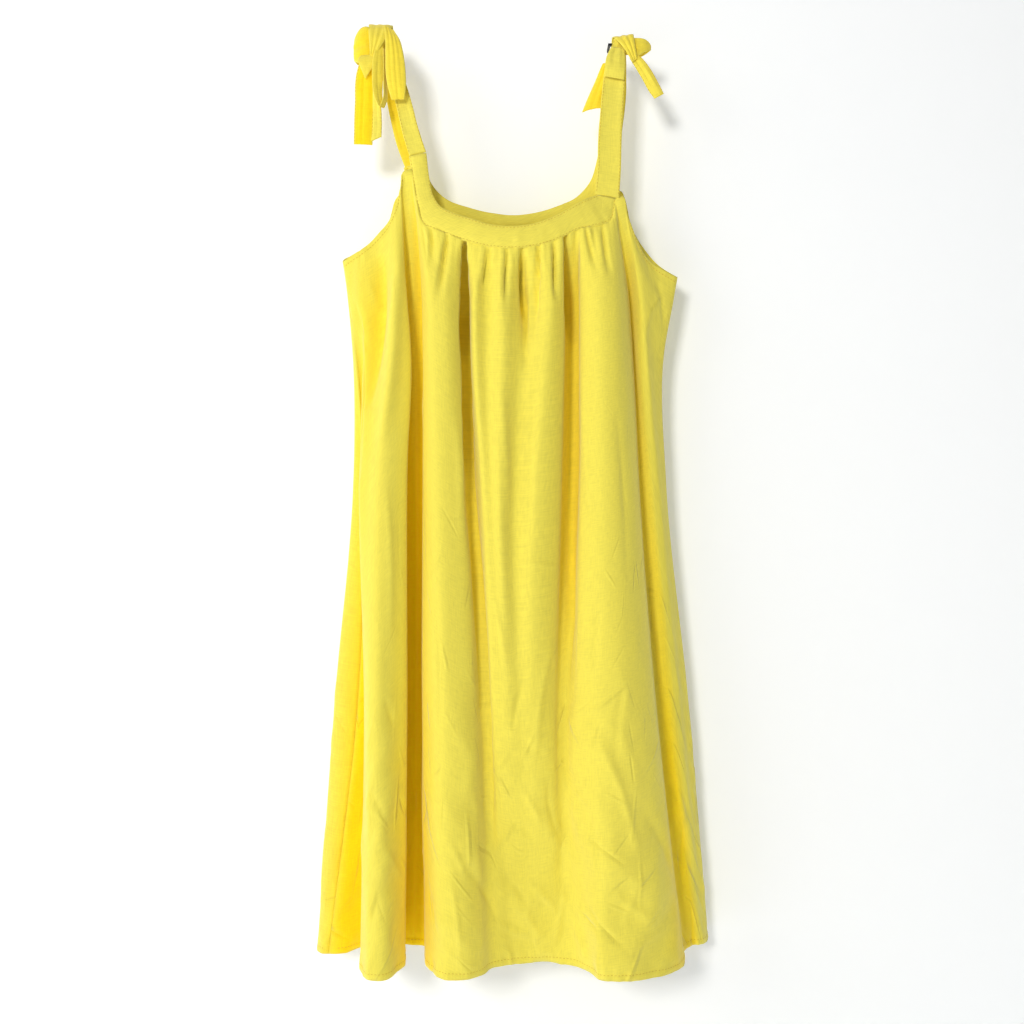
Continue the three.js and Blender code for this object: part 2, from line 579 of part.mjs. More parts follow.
// A ribbon's section is a shallow arch across its width, carried along its centre line.
function ribbonGeometry(sections) {
  const steps = sections.slice(1).map(() => RIBBON_STEPS);
  const centre = curveThrough(sections.map((row) => new THREE.Vector3(row.x, row.y, row.z)), steps);
  const places = sections.map((row, i) => i * RIBBON_STEPS);
  const column = (name) => smooth(places, sections.map((row) => row[name]));
  const [width, turn, tilt, crown] = ["width", "turn", "tilt", "crown"].map(column);
  const grid = centre.map((point, i) => {
    const turned = THREE.MathUtils.degToRad(turn(i));
    const tilted = THREE.MathUtils.degToRad(tilt(i));
    const across = new THREE.Vector3(
      Math.cos(turned) * Math.cos(tilted), Math.sin(turned) * Math.cos(tilted), Math.sin(tilted));
    const along = new THREE.Vector3().subVectors(
      centre[Math.min(centre.length - 1, i + 1)], centre[Math.max(0, i - 1)]);
    const proud = new THREE.Vector3().crossVectors(along, across).normalize();
    const line = [];
    for (let j = 0; j <= RIBBON_CROSS; j += 1) {
      const side = 2 * j / RIBBON_CROSS - 1;
      line.push(point.clone()
        .addScaledVector(across, side * width(i) / 2)
        .addScaledVector(proud, crown(i) * (1 - side * side)));
    }
    return line;
  });
  return clothWall(grid, CLOTH_WALL);
}

// Hooks

// A square wire along straight runs in one level plane, mitred at its corners.
function wireGeometry(corners, size) {
  const half = size / 2;
  const sideOf = (i) => {
    const before = i > 0 ? new THREE.Vector2().subVectors(corners[i], corners[i - 1]).normalize() : null;
    const after = i < corners.length - 1
      ? new THREE.Vector2().subVectors(corners[i + 1], corners[i]).normalize() : null;
    const along = (before ?? after).clone().add(after ?? before).normalize();
    const side = new THREE.Vector2(-along.y, along.x);
    const square = new THREE.Vector2(-(before ?? after).y, (before ?? after).x);
    return side.multiplyScalar(1 / side.dot(square));
  };
  const outline = [1, -1].map((sign) => corners.map((corner, i) =>
    corner.clone().addScaledVector(sideOf(i), sign * half)));
  const shape = new THREE.Shape([...outline[0], ...outline[1].reverse()]);
  const geometry = new THREE.ExtrudeGeometry(shape, { depth: size, bevelEnabled: false, steps: 1 });
  geometry.translate(0, 0, -half);
  return geometry;
}

function hook(side) {
  const { plateX, bendX, bendY, tipX } = HOOKS[side];
  const { width, height, thickness } = HOOK_PLATE;
  const plate = piece(`hook_plate_${side}`, new THREE.BoxGeometry(width, thickness, height), COLOURS.plate, 0.6);
  plate.position.set(plateX, -thickness / 2, 0);
  const corners = [
    new THREE.Vector2(plateX, -thickness - SEAM_GAP),
    new THREE.Vector2(plateX, -HOOK_STUB),
    new THREE.Vector2(bendX, bendY),
    new THREE.Vector2(bendX, -HOOK_REACH),
    new THREE.Vector2(tipX, -HOOK_REACH),
  ];
  const wire = piece(`hook_wire_${side}`, wireGeometry(corners, HOOK_WIRE), COLOURS.wire, 0.4, 0.6);
  const group = new THREE.Group();
  group.add(plate, wire);
  return group;
}

// The dress on its hooks

const dress = new THREE.Group();
const { front, back } = panels();
dress.add(piece("front_panel", front, COLOURS.cloth));
dress.add(piece("back_panel", back, COLOURS.backCloth));
dress.add(piece("front_neck_band", bandGeometry(FRONT_BAND), COLOURS.band));
dress.add(piece("back_neck_band", bandGeometry(BACK_BAND), COLOURS.band));
for (const [name, sections] of Object.entries(RIBBONS)) {
  dress.add(piece(name, ribbonGeometry(sections), COLOURS.cloth));
}
dress.add(hook("left"), hook("right"));

export default dress;
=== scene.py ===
# %% [markdown]
# # A yellow cotton sundress on two wall hooks
# The dress is sewn from two wide panels, two neck bands and long ties that are knotted at each shoulder.
# It hangs by its knots, so every fold below starts as a curve from the top edge down to the hem.
# Lengths in the tables are millimetres and are turned into metres when a mesh is made.
# X runs to the viewer's right, Z runs up and the front of the dress faces -Y; the wall is y = 0.

# %% Modules and the fixed frame
import math

import bpy
import numpy as np
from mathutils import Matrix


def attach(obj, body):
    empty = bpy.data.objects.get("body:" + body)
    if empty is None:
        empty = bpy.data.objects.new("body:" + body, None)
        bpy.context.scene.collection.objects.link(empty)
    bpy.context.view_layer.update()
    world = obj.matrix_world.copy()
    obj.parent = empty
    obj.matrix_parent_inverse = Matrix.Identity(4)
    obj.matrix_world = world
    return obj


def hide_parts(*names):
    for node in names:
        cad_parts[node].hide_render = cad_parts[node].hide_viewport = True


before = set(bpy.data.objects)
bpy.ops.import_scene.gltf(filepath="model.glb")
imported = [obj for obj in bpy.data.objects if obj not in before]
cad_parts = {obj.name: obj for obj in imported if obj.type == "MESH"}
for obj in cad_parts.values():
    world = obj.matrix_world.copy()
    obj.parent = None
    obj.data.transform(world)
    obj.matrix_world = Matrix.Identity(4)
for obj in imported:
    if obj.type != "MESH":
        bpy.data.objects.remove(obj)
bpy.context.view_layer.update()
MM = 0.001

# %% [markdown]
# ## The camera
# It stands level, about as far from the wall as a person who takes the picture, and a little right of the
# middle. A moderate lens keeps the folds in front only slightly larger than the ones behind. The standard
# view transform shows the yellow as bright and as saturated as shop pictures of cotton do.

# %% Camera
camera = bpy.data.objects.new("camera", bpy.data.cameras.new("camera"))
bpy.context.scene.collection.objects.link(camera)
camera.location = (0.01026, -1.460, -0.5992)
camera.rotation_euler = (math.radians(90), 0, 0)
camera.data.lens = 38.0859
camera.data.sensor_width = 36
bpy.context.scene.camera = camera
bpy.context.scene.view_settings.view_transform = "Standard"
print("camera at", tuple(camera.location))

# %% [markdown]
# ## Smooth curves through given points
# A fold line, a band edge and a tie are all curves through a few given points.
# A cubic between each two points keeps them smooth without wild swings, and it is cheap for whole arrays.

# %% Cubics
def slopes_at(knots, values):
    """The slope at a knot is the mean of its two neighbouring slopes, weighted by the nearer one."""
    gap = np.diff(knots, axis=-1)[..., None]
    rise = np.diff(values, axis=-2) / gap
    before, after = rise[..., :-1, :], rise[..., 1:, :]
    gap_before, gap_after = gap[..., :-1, :], gap[..., 1:, :]
    inner = (before * gap_after + after * gap_before) / (gap_before + gap_after)
    return np.concatenate([rise[..., :1, :], inner, rise[..., -1:, :]], axis=-2)


def curve_at(knots, values, at):
    """A cubic through values (..., k, d) at knots (..., k), read at the places (..., m). End values are
    blended by 2t^3 - 3t^2 + 1 and its mirror image, slopes by t^3 - 2t^2 + t and t^3 - t^2."""
    slopes = slopes_at(knots, values)
    i = (at[..., :, None] >= knots[..., None, 1:-1]).sum(-1)
    pick = lambda table, j: np.take_along_axis(table, j[..., None], axis=-2)
    knot = np.take_along_axis(knots, i, -1)
    span = (np.take_along_axis(knots, i + 1, -1) - knot)[..., None]
    t = np.clip((at - knot)[..., None] / span, 0, 1)
    return ((2 * t**3 - 3 * t**2 + 1) * pick(values, i) + (t**3 - 2 * t**2 + t) * span * pick(slopes, i)
            + (3 * t**2 - 2 * t**3) * pick(values, i + 1) + (t**3 - t**2) * span * pick(slopes, i + 1))


def through_points(points, spans, parts):
    """The curve through points (..., k, 3) with distance along them as its knots, read in the given spans
    at the given parts of each span."""
    steps = np.linalg.norm(np.diff(points, axis=-2), axis=-1)
    knots = np.concatenate([np.zeros(steps.shape[:-1] + (1,)), np.cumsum(steps, axis=-1)], axis=-1)
    places = knots[..., spans] + parts * (knots[..., spans + 1] - knots[..., spans])
    return curve_at(knots, points, places)


def even_steps(count_of_spans, steps):
    """Span numbers and parts for the same number of steps in every span, with the last end included."""
    n = np.arange(count_of_spans * steps + 1)
    spans = np.minimum(n // steps, count_of_spans - 1)
    return spans, (n - spans * steps) / steps


print("a cubic through 0, 1, 4 at the middle:",
      curve_at(np.array([0.0, 1, 2]), np.array([[0.0], [1], [4]]), np.array([0.5]))[0])

# %% [markdown]
# ## The fold lines of the dress
# Each row is one crease or crest: where it leaves the top edge, then its x and y at the heights of the
# chest, bust, waist, hip and hem. Deep valleys and broad crests come from the y values.
# Uneven rows keep the rhythm of real gathered cloth, which a repeated wave would lose. The places in front
# were read off the photograph, and those behind, where it shows little, are guessed, as all the
# depths are. A small program turned them into millimetres, and some were changed later.

# %% Fold tables
HEM_Z = -1161
LEVELS = [-320, -394, -559, -831, HEM_Z]
# columns: name, top x, y and z, then x and y at the chest, bust, waist, hip and hem
FRONT_FOLDS = [
    ("side_left", -209, -56, -275, -202, -56, -193, -60, -181, -60, -187, -66, -223, -82),
    ("left_tuck", -197, -62, -269, -195, -62, -187, -62, -169, -54, -169, -60, -181, -60),
    ("fold_a_left", -182, -68, -261, -185, -68, -183, -72, -181, -100, -172, -122, -173, -138),
    ("fold_a_trough", -163, -71, -245, -159, -70, -165, -78, -168, -110, -164, -140, -159, -159),
    ("fold_a_crest", -144, -76, -222, -138, -88, -143, -92, -152, -120, -155, -145, -151, -160),
    ("fold_a_right", -133, -77, -190, -127, -80, -124, -83, -127, -107, -127, -125, -125, -118),
    ("valley_1_left", -127, -77, -164, -127, -52, -126, -50, -128, -50, -130, -48, -128, -50),
    ("valley_1_right", -119, -78, -163, -109, -50, -108, -49, -108, -46, -107, -44, -109, -52),
    ("fold_b_left", -111, -83, -203, -103, -82, -101, -87, -99, -102, -98, -118, -95, -118),
    ("fold_b_crest", -103, -87, -237, -88, -98, -84, -104, -79, -120, -75, -142, -63, -160),
    ("fold_b_flat", -81, -90, -245, -71, -98, -69, -103, -63, -117, -57, -139, -47, -160),
    ("fold_b_right", -62, -92, -252, -58, -88, -57, -93, -48, -108, -39, -130, -27, -146),
    ("valley_2", -50, -92, -257, -51, -58, -50, -60, -39, -80, -25, -112, -11, -120),
    ("fold_c_left", -42, -93, -260, -43, -82, -42, -86, -32, -98, -19, -122, 2, -114),
    ("fold_c_crest_left", -30, -94, -263, -36, -95, -36, -99, -25, -112, -12, -128, 10, -110),
    ("fold_c_trough_left", -17, -94, -265, -21, -87, -23, -93, -16, -112, -3, -130, 19, -109),
    ("fold_c_crest_middle", 1, -95, -267, 0, -98, -1, -103, -6, -118, 7, -131, 28, -108),
    ("fold_c_trough_middle", 25, -94, -266, 24, -82, 22, -92, 13, -106, 19, -129, 38, -107),
    ("fold_c_crest_right", 52, -93, -261, 61, -98, 58, -103, 40, -117, 37, -130, 49, -107),
    ("fold_c_right", 75, -91, -252, 76, -86, 75, -90, 70, -102, 62, -117, 65, -110),
    ("valley_3_left", 82, -90, -248, 81, -56, 81, -57, 78, -68, 70, -102, 75, -113),
    ("valley_3_right", 89, -89, -245, 95, -55, 95, -56, 93, -66, 77, -100, 86, -118),
    ("fold_d_left", 95, -88, -241, 97, -85, 97, -88, 97, -102, 85, -115, 99, -127),
    ("fold_d_crest", 114, -86, -237, 118, -102, 120, -107, 123, -120, 120, -142, 118, -159),
    ("fold_d_flat", 130, -83, -233, 137, -100, 138, -105, 140, -118, 147, -141, 152, -160),
    ("fold_d_edge", 140, -81, -216, 155, -82, 160, -84, 167, -96, 186, -112, 221, -119),
    ("valley_4", 143, -79, -202, 163, -56, 168, -58, 178, -60, 200, -62, 236, -63),
    ("fold_e_left", 149, -77, -196, 168, -67, 172, -70, 186, -67, 210, -65, 244, -56),
    ("fold_e_crest", 160, -74, -227, 174, -78, 179, -78, 194, -69, 222, -63, 252, -52),
    ("fold_e_flat", 185, -66, -273, 192, -71, 191, -70, 203, -62, 231, -52, 261, -43),
    ("side_right", 225, -56, -295, 221, -55, 208, -54, 211, -49, 240, -40, 268, -33),
]
BACK_FOLDS = [
    ("side_left", -209, -56, -275, -202, -56, -193, -60, -181, -60, -187, -66, -223, -82),
    ("left_bulge", -207, -47, -269, -203, -47, -197, -51, -195, -56, -216, -66, -238, -72),
    ("left_turn", -197, -34, -260, -194, -34, -190, -36, -190, -44, -214, -46, -236, -46),
    ("crest_1", -176, -26, -242, -176, -17, -175, -16, -181, -13, -201, -11, -217, -9),
    ("trough_1", -153, -32, -217, -149, -33, -149, -35, -152, -38, -168, -39, -177, -40),
    ("crest_2", -141, -38, -187, -124, -17, -124, -15, -125, -12, -137, -10, -140, -8),
    ("trough_2", -127, -45, -176, -88, -34, -87, -36, -87, -38, -89, -40, -89, -42),
    ("crest_3", -100, -44, -201, -54, -16, -52, -14, -49, -11, -42, -9, -35, -7),
    ("trough_3", -55, -44, -217, -20, -35, -17, -37, -11, -38, -2, -40, 8, -41),
    ("crest_4", 0, -43, -226, 14, -17, 17, -15, 26, -12, 44, -10, 56, -7),
    ("trough_4", 53, -43, -221, 51, -34, 54, -36, 63, -39, 84, -41, 99, -42),
    ("crest_5", 95, -44, -209, 85, -17, 88, -15, 97, -12, 123, -10, 142, -7),
    ("trough_5", 126, -45, -197, 122, -34, 123, -36, 131, -38, 157, -39, 178, -39),
    ("crest_6", 148, -44, -178, 157, -18, 158, -16, 165, -14, 194, -11, 219, -8),
    ("trough_6", 171, -38, -234, 182, -30, 181, -30, 186, -28, 216, -24, 244, -20),
    ("right_turn", 202, -38, -275, 205, -36, 198, -36, 205, -32, 237, -24, 268, -15),
    ("side_right", 225, -56, -295, 221, -55, 208, -54, 211, -49, 240, -40, 268, -33),
]
# columns: place on the seam, depth, length down, drift to the right and half width
GATHERS = [
    (-103, 2.2, 70, 6, 6.0), (-92, 3.6, 60, 8, 7.0), (-81, 1.2, 40, 2, 4.0), (-71, 3.4, 80, -7, 7.0),
    (-61, 1.5, 40, -4, 4.0), (-40, 1.0, 30, 0, 4.0), (-31, 2.4, 50, -4, 6.0), (-18, 4.2, 74, -8, 7.0),
    (-7, 2.0, 34, 0, 4.0), (4, 3.4, 110, -3, 6.0), (14, 1.2, 30, 2, 4.0), (24, 4.2, 130, 4, 7.0),
    (35, 1.6, 40, 0, 5.0), (45, 4.0, 90, -7, 7.0), (54, 1.4, 30, 0, 4.0), (64, 3.2, 80, 3, 6.5),
    (92, 2.6, 60, 2, 6.0), (102, 1.0, 30, 2, 4.0), (113, 2.8, 80, 6, 7.0), (126, 1.8, 50, 4, 5.0),
]
# columns: name, lower edge x and z, neck edge x and z, y
FRONT_BAND = [
    ("strap_seam_left", -121, -146, -99, -141, -78),
    ("arm_left", -116, -176, -95, -174, -80),
    ("arm_low_left", -110, -209, -89, -199, -84),
    ("corner_left", -102, -235, -80, -212, -87),
    ("turn_left", -85, -243, -66, -220, -90),
    ("low_left", -60, -253, -43, -228, -92),
    ("centre_left", -28, -263, -18, -236, -94),
    ("centre", 5, -267, 8, -239, -95),
    ("centre_right", 38, -264, 34, -236, -94),
    ("low_right", 68, -255, 60, -227, -92),
    ("turn_right", 93, -242, 82, -215, -89),
    ("corner_right", 116, -237, 98, -205, -86),
    ("arm_right", 136, -229, 110, -199, -82),
    ("strap_seam_right", 143, -200, 119, -196, -79),
]
BACK_BAND = [
    ("strap_seam_left", -131, -150, -103, -141, -46),
    ("arm_left", -125, -178, -95, -170, -45),
    ("turn_left", -104, -200, -76, -190, -44),
    ("low_left", -68, -214, -47, -201, -44),
    ("centre_left", -28, -223, -17, -208, -43),
    ("centre", 10, -226, 12, -211, -43),
    ("centre_right", 47, -222, 40, -208, -43),
    ("low_right", 81, -214, 68, -200, -44),
    ("turn_right", 117, -201, 94, -188, -44),
    ("arm_right", 144, -183, 112, -168, -45),
    ("strap_low_right", 151, -150, 121, -140, -46),
    ("strap_seam_right", 152, -114, 125, -114, -47),
]
# columns: centre x, y and z, width, turn and tilt in degrees, and crown; strap_back_left starts about 5 mm
# lower here than in the fixed frame, so that it meets the band
RIBBONS = {
    "strap_front_left": [
        (-110, -78.2, -142.6, 22, 0, 13, 0),
        (-119.5, -79.5, -112, 21, 0, 16, 1),
        (-127, -80, -81, 20, 0, 15, 1.5),
        (-136, -79, -49, 18, 0, 18, 2),
        (-145, -77, -26, 15, 0, 20, 2),
        (-153, -72.9, 0, 12, 0, 12, 0),
        (-156, -72.4, 15.2, 11, 0, 8, 0),
    ],
    "strap_back_left": [
        (-115.5, -47.2, -149.0, 27, 0, 18, 0),
        (-129, -48, -114, 25, 0, 19, 1),
        (-138, -51, -82, 22, 0, 16, 1),
        (-146, -55.5, -50, 18, 0, 14, 1),
        (-153, -61, -22, 14, 0, 14, 0),
        (-157, -67.2, 0, 12, 0, 10, 0),
        (-158, -68.6, 12.6, 11, 0, 6, 0),
    ],
    "strap_front_right": [
        (131.4, -79.2, -197, 31, 0, -9, 0),
        (134, -80, -163, 30, 0, 1, 1),
        (135, -80, -125, 30, 0, -3, 1.5),
        (137, -79.5, -93, 29, 0, -5, 1.5),
        (140, -78, -55, 28, 0, -4, 1.5),
        (143, -76, -26, 25, 0, -8, 1),
        (148, -73.5, 0, 18, 0, -6, 0),
        (149, -73, 6, 16, 0, -4, 0),
    ],
    "strap_back_right": [
        (138.6, -47.1, -113.4, 27, 0, 0, 0),
        (142, -48.5, -92, 26, 0, -6, 1),
        (146.5, -53, -57, 24, 0, -5, 1),
        (149.5, -60, -22, 17, 0, -4, 0),
        (151, -66.9, 0, 13, 0, -3, 0),
        (151.5, -68, 2.8, 12, 0, 0, 0),
    ],
    "knot_left_wrap": [
        (-155, -62, -6, 22, 0, 0, 0),
        (-156.5, -64, 12, 27, 0, 0, 0),
        (-157.5, -72, 24, 30, 0, -2, 0),
        (-158.5, -83, 14, 27, 0, -6, 1.5),
        (-160.5, -88, 1, 21, 0, -8, 2),
        (-164, -89, -13, 12, 0, -10, 1),
        (-168, -87, -24, 4, 0, -12, 0),
    ],
    "bow_left_round": [
        (-165, -80, -3, 30, 0, 90, 0),
        (-173, -84, -4, 42, 0, 90, 0),
        (-181, -83, -6, 44, 0, 90, 0),
        (-188, -78, -8, 36, 0, 90, 0),
        (-191.5, -73, -9, 26, 0, 90, 0),
        (-189, -68, -9, 30, 0, 90, 0),
        (-180, -65.5, -7, 36, 0, 90, 0),
        (-167, -67, -3, 24, 0, 90, 0),
    ],
    "tie_end_left": [
        (-171.5, -86, -20, 20, 0, 2, 0),
        (-172.5, -88.5, -27, 25, 0, 0, 1),
        (-174, -89, -36, 16, 0, -4, 1),
        (-175, -88, -44, 7, 0, -6, 0),
        (-175.5, -87, -49, 2, 0, -6, 0),
    ],
    "tail_left_wide": [
        (-173, -79, -22, 20, 0, 0, 0),
        (-176.5, -79.5, -46, 25, -4, 0, 2),
        (-177.5, -79.6, -77, 25, -6, 0, 3),
        (-178.5, -79.1, -105, 25, -6, 0, 3),
        (-179.5, -78.6, -131, 24, -4, -4, 2),
    ],
    "tail_left_narrow": [
        (-163, -81, -16, 10, -20, 0, 0),
        (-163, -82, -42, 12, -20, 0, 0.5),
        (-162.5, -82, -70, 13, -20, 0, 1),
        (-162, -81.5, -100, 14, -15, 4, 1),
        (-162.5, -81, -125, 15, -10, 22, 1),
    ],
    "loop_left_narrow": [
        (-157, -87, -4, 9, 20, 0, 0),
        (-159.5, -90, -28, 13, 20, 0, 1),
        (-160, -90.5, -54, 14, 25, 0, 1),
        (-158.5, -90, -76, 12, 40, 0, 1),
        (-155, -88, -86, 10, 60, 0, 0),
        (-151.5, -86, -78, 11, 70, 0, 0),
        (-150.5, -85, -58, 13, 75, 0, 0),
        (-151, -84.5, -36, 12, 75, 0, 0),
        (-152, -84, -12, 8, 75, 0, 0),
    ],
    "loop_left_drape": [
        (-146, -84, 16, 14, 0, -30, 0),
        (-141, -90, 0, 19, 0, -14, 2),
        (-138, -93, -22, 23, 0, -4, 3),
        (-136.5, -94, -44, 25, 0, 2, 3),
        (-135, -93, -62, 23, 0, 3, 2),
        (-134, -89.5, -77, 16, 0, 3, 0),
        (-135, -85.6, -64, 18, 0, 3, 0),
        (-137, -84.6, -44, 17, 0, 3, 0),
        (-140, -83.4, -20, 13, 0, -4, 0),
        (-144, -81.6, 0, 9, 0, -10, 0),
    ],
    "knot_right_wrap": [
        (150, -61, -9, 22, 0, 0, 0),
        (151, -63, 2, 25, 0, 0, 0),
        (152, -71, 10.5, 26, 0, 4, 0),
        (154.5, -80, 5, 22, 0, 16, 1.5),
        (159, -84, -6, 16, 0, 28, 1.5),
        (163, -84.5, -17, 11, 0, 32, 1),
        (166, -82.5, -25, 8, 0, 34, 0),
    ],
    "fold_right_over": [
        (145, -79.5, -8, 17, 0, -10, 0),
        (142.5, -82.5, -22, 24, 0, -8, 1.5),
        (141, -83.5, -36, 26, 0, -8, 1.5),
        (140.5, -82, -47, 25, 0, -10, 0),
    ],
    "bow_right_loop": [
        (163, -78, -7, 24, 0, 90, 0),
        (172, -80.5, -6.5, 22, 0, 90, 0),
        (180, -79, -5, 16, 0, 90, 0),
        (186, -75, -4.5, 9, 0, 90, 0),
        (187.5, -72, -4.6, 6, 0, 90, 0),
        (184, -69, -5, 10, 0, 90, 0),
        (175, -67, -7, 15, 0, 90, 0),
        (163, -67.5, -8, 16, 0, 90, 0),
    ],
    "tail_right_long": [
        (165, -79, -18, 11, -10, 30, 0),
        (174, -80, -30, 14, -16, 34, 1),
        (183, -80, -44, 15, -16, 34, 1.5),
        (191, -79, -58, 15, -14, 32, 1.5),
        (198, -78, -69, 13, -10, 26, 1),
    ],
    "tail_right_back": [
        (131.5, -71.9, -24, 10, -10, 0, 0),
        (125.5, -68, -44, 17, -10, 10, 3),
        (118.5, -66, -64, 22, -10, 12, 4),
        (113, -65, -82, 25, -10, 8, 4),
    ],
}
COUNT_FRONT = len(FRONT_FOLDS)
print(COUNT_FRONT, "front fold lines and", len(BACK_FOLDS), "back fold lines")

# %% [markdown]
# ## One ring of cloth round the body
# The front's lines run from left to right and the back's from right to left, so at every height they make a
# closed ring. Both panels are then cut from the same ring and meet exactly at the side seams.
# Rows are closer at the top, where the gathers are, and at the hem, where the cloth is crumpled.

# %% Body ring
ROWS = 160
FRONT_COLUMNS = 300
BACK_COLUMNS = 216


def row_parts(count):
    """Parts from 0 to 1 down the panel, denser near both ends: the inverse of a density that adds two
    exponential ends to an even middle."""
    fine = np.linspace(0, 1, 4001)
    density = 1 + 1.9 * np.exp(-fine / 0.07) + 0.9 * np.exp(-(1 - fine) / 0.09)
    total = np.concatenate([[0], np.cumsum((density[1:] + density[:-1]) / 2)])
    return np.interp(np.linspace(0, 1, count), total / total[-1], fine)


def fold_lines(folds, parts):
    """Curves down the panel, one per row of the table: x and y are cubics of depth below the hooks."""
    numbers = np.array([row[1:] for row in folds], float)
    top_z = numbers[:, 2]
    levels = np.concatenate([-top_z[:, None], np.tile(-np.array(LEVELS, float), (len(folds), 1))], axis=1)
    xy = np.stack([numbers[:, [0, 3, 5, 7, 9, 11]], numbers[:, [1, 4, 6, 8, 10, 12]]], axis=-1)
    z = top_z[:, None] + (HEM_Z - top_z[:, None]) * parts[None, :]
    return np.concatenate([curve_at(levels, xy, -z), z[..., None]], axis=-1)


def shared_steps(lines, total, top_weight):
    """Steps for each span between two lines, in proportion to its width, with the given total."""
    gaps = np.linalg.norm(np.diff(lines, axis=0), axis=-1)
    weight = gaps.mean(axis=1) + top_weight * gaps[:, 0]
    steps = np.maximum(3, np.floor(weight / weight.sum() * total)).astype(int)
    order = np.argsort(-weight)
    short = total - steps.sum()
    steps[order[: abs(short)]] += np.sign(short)
    return steps


parts = row_parts(ROWS)
front_lines = fold_lines(FRONT_FOLDS, parts)
back_lines = fold_lines(BACK_FOLDS, parts)[::-1]
front_steps = shared_steps(front_lines, FRONT_COLUMNS, 0.5)
back_steps = shared_steps(back_lines, BACK_COLUMNS, 0.2)
ring_lines = np.concatenate([front_lines, back_lines[1:-1]])
ring_steps = np.concatenate([front_steps, back_steps])
open_lines = np.concatenate([ring_lines[-1:], ring_lines, ring_lines[:2]])
span_of = np.repeat(np.arange(len(ring_steps)), ring_steps) + 1
part_of = np.concatenate([np.arange(n) / n for n in ring_steps])
ring = through_points(open_lines.transpose(1, 0, 2), span_of, part_of).transpose(1, 0, 2)
print("ring of", ring.shape[0], "columns and", ring.shape[1], "rows")

# %% [markdown]
# ## Drawing the panels onto the neck bands
# Gathered cloth is sewn into the band, so the panels' top edges are drawn just inside the band's lower
# edge and the move fades out a few centimetres below. The armholes keep their own free edge.

# %% Seam pull
SEAM_PULL_DEPTH = 60
SEAM_REACH = 7.5
PANEL_TOP_GAP = -1.4


def band_edge(sections, first):
    """The lower (first = 0) or neck (first = 2) edge of a band, as a fine curve."""
    table = np.array([row[1:] for row in sections], float)
    points = np.stack([table[:, first], table[:, 4], table[:, first + 1]], axis=-1)
    return through_points(points, *even_steps(len(points) - 1, 8))


def nearest_on(edge, points):
    """The nearest place on a line of points to each point, and the outward direction of the edge there."""
    start, along = edge[:-1], np.diff(edge, axis=0)
    ahead = np.einsum("pkd,kd->pk", points[:, None] - start, along) / (along**2).sum(-1)
    near = start + np.clip(ahead, 0, 1)[..., None] * along
    best = np.linalg.norm(near - points[:, None], axis=-1).argmin(axis=1)
    away = np.stack([along[:, 2], 0 * along[:, 0], -along[:, 0]], axis=-1)
    away /= np.linalg.norm(away, axis=-1, keepdims=True)
    return near[np.arange(len(points)), best], away[best]


def smooth_step(t):
    """0 below 0, 1 above 1, and 3t^2 - 2t^3 between."""
    t = np.clip(t, 0, 1)
    return t * t * (3 - 2 * t)


is_front = np.arange(len(ring)) < FRONT_COLUMNS
is_sewn = np.zeros(len(ring), bool)
for sections, mask in ((FRONT_BAND, is_front), (BACK_BAND, ~is_front)):
    columns = np.nonzero(mask)[0]
    columns = columns[(columns != 0) & (columns != FRONT_COLUMNS)]
    near, away = nearest_on(band_edge(sections, 0), ring[columns, 0])
    close = np.linalg.norm(near - ring[columns, 0], axis=-1) <= SEAM_REACH
    columns, pull = columns[close], (near + away * PANEL_TOP_GAP - ring[columns, 0])[close]
    drop = ring[columns, :1, 2] - ring[columns, :, 2]
    ring[columns] += pull[:, None] * (1 - smooth_step(drop / SEAM_PULL_DEPTH))[..., None]
    is_sewn[columns] = True
drops = ring[:, :1, 2] - ring[..., 2]
print("columns sewn to a band:", int(is_sewn.sum()))

# %% [markdown]
# ## Gathers, creases and puckers
# Gathers are narrow troughs that start at the band and die out below it, each with its own depth, length
# and drift. The second table adds the fine ones between them, and notches are the deepest. Creases are
# soft troughs (depth below 0) or ridges (above 0) from one point of the dress to another, as seen from
# the front. Hems pucker where the thread draws the cloth.

# %% Crease tables
FINE_GATHERS = [
    (-97, 0.9, 20, 0, 2.6), (-86.5, 1.3, 26, -1, 2.8), (-66, 1.5, 30, -3, 3.0), (-36, 1.0, 20, -1, 2.6),
    (-24, 1.4, 26, -3, 3.0), (-13, 1.1, 18, 0, 2.6), (10, 0.9, 18, 1, 2.6), (29.5, 1.5, 28, 0, 3.0),
    (40, 1.0, 20, -1, 2.6), (59, 1.2, 22, 0, 2.8), (97.5, 1.1, 20, 1, 2.8), (119, 1.4, 30, 4, 3.0),
]
# columns: start x and z, end x and z, depth, half width at the start and at the end
NOTCHES = [
    (-50, -255, -50, -410, 22, 3.6, 6.5), (-50, -330, -40, -680, 12, 5, 7),
    (78, -246, 88, -400, 22, 3.0, 8.5), (-18, -263, -28, -332, 5, 2.2, 4.5),
    (4, -265, 1, -342, 6, 2.2, 4), (22, -264, 28, -396, 9, 2.4, 4), (44, -261, 36, -380, 8, 2.4, 5),
    (63, -256, 66, -340, 6, 2.4, 5), (-71, -247, -84, -342, 7, 2.4, 7), (-92, -238, -92, -300, 4, 2.4, 5),
    (104, -238, 115, -300, 5, 2.4, 5), (124, -234, 134, -312, 4, 2.6, 6),
]
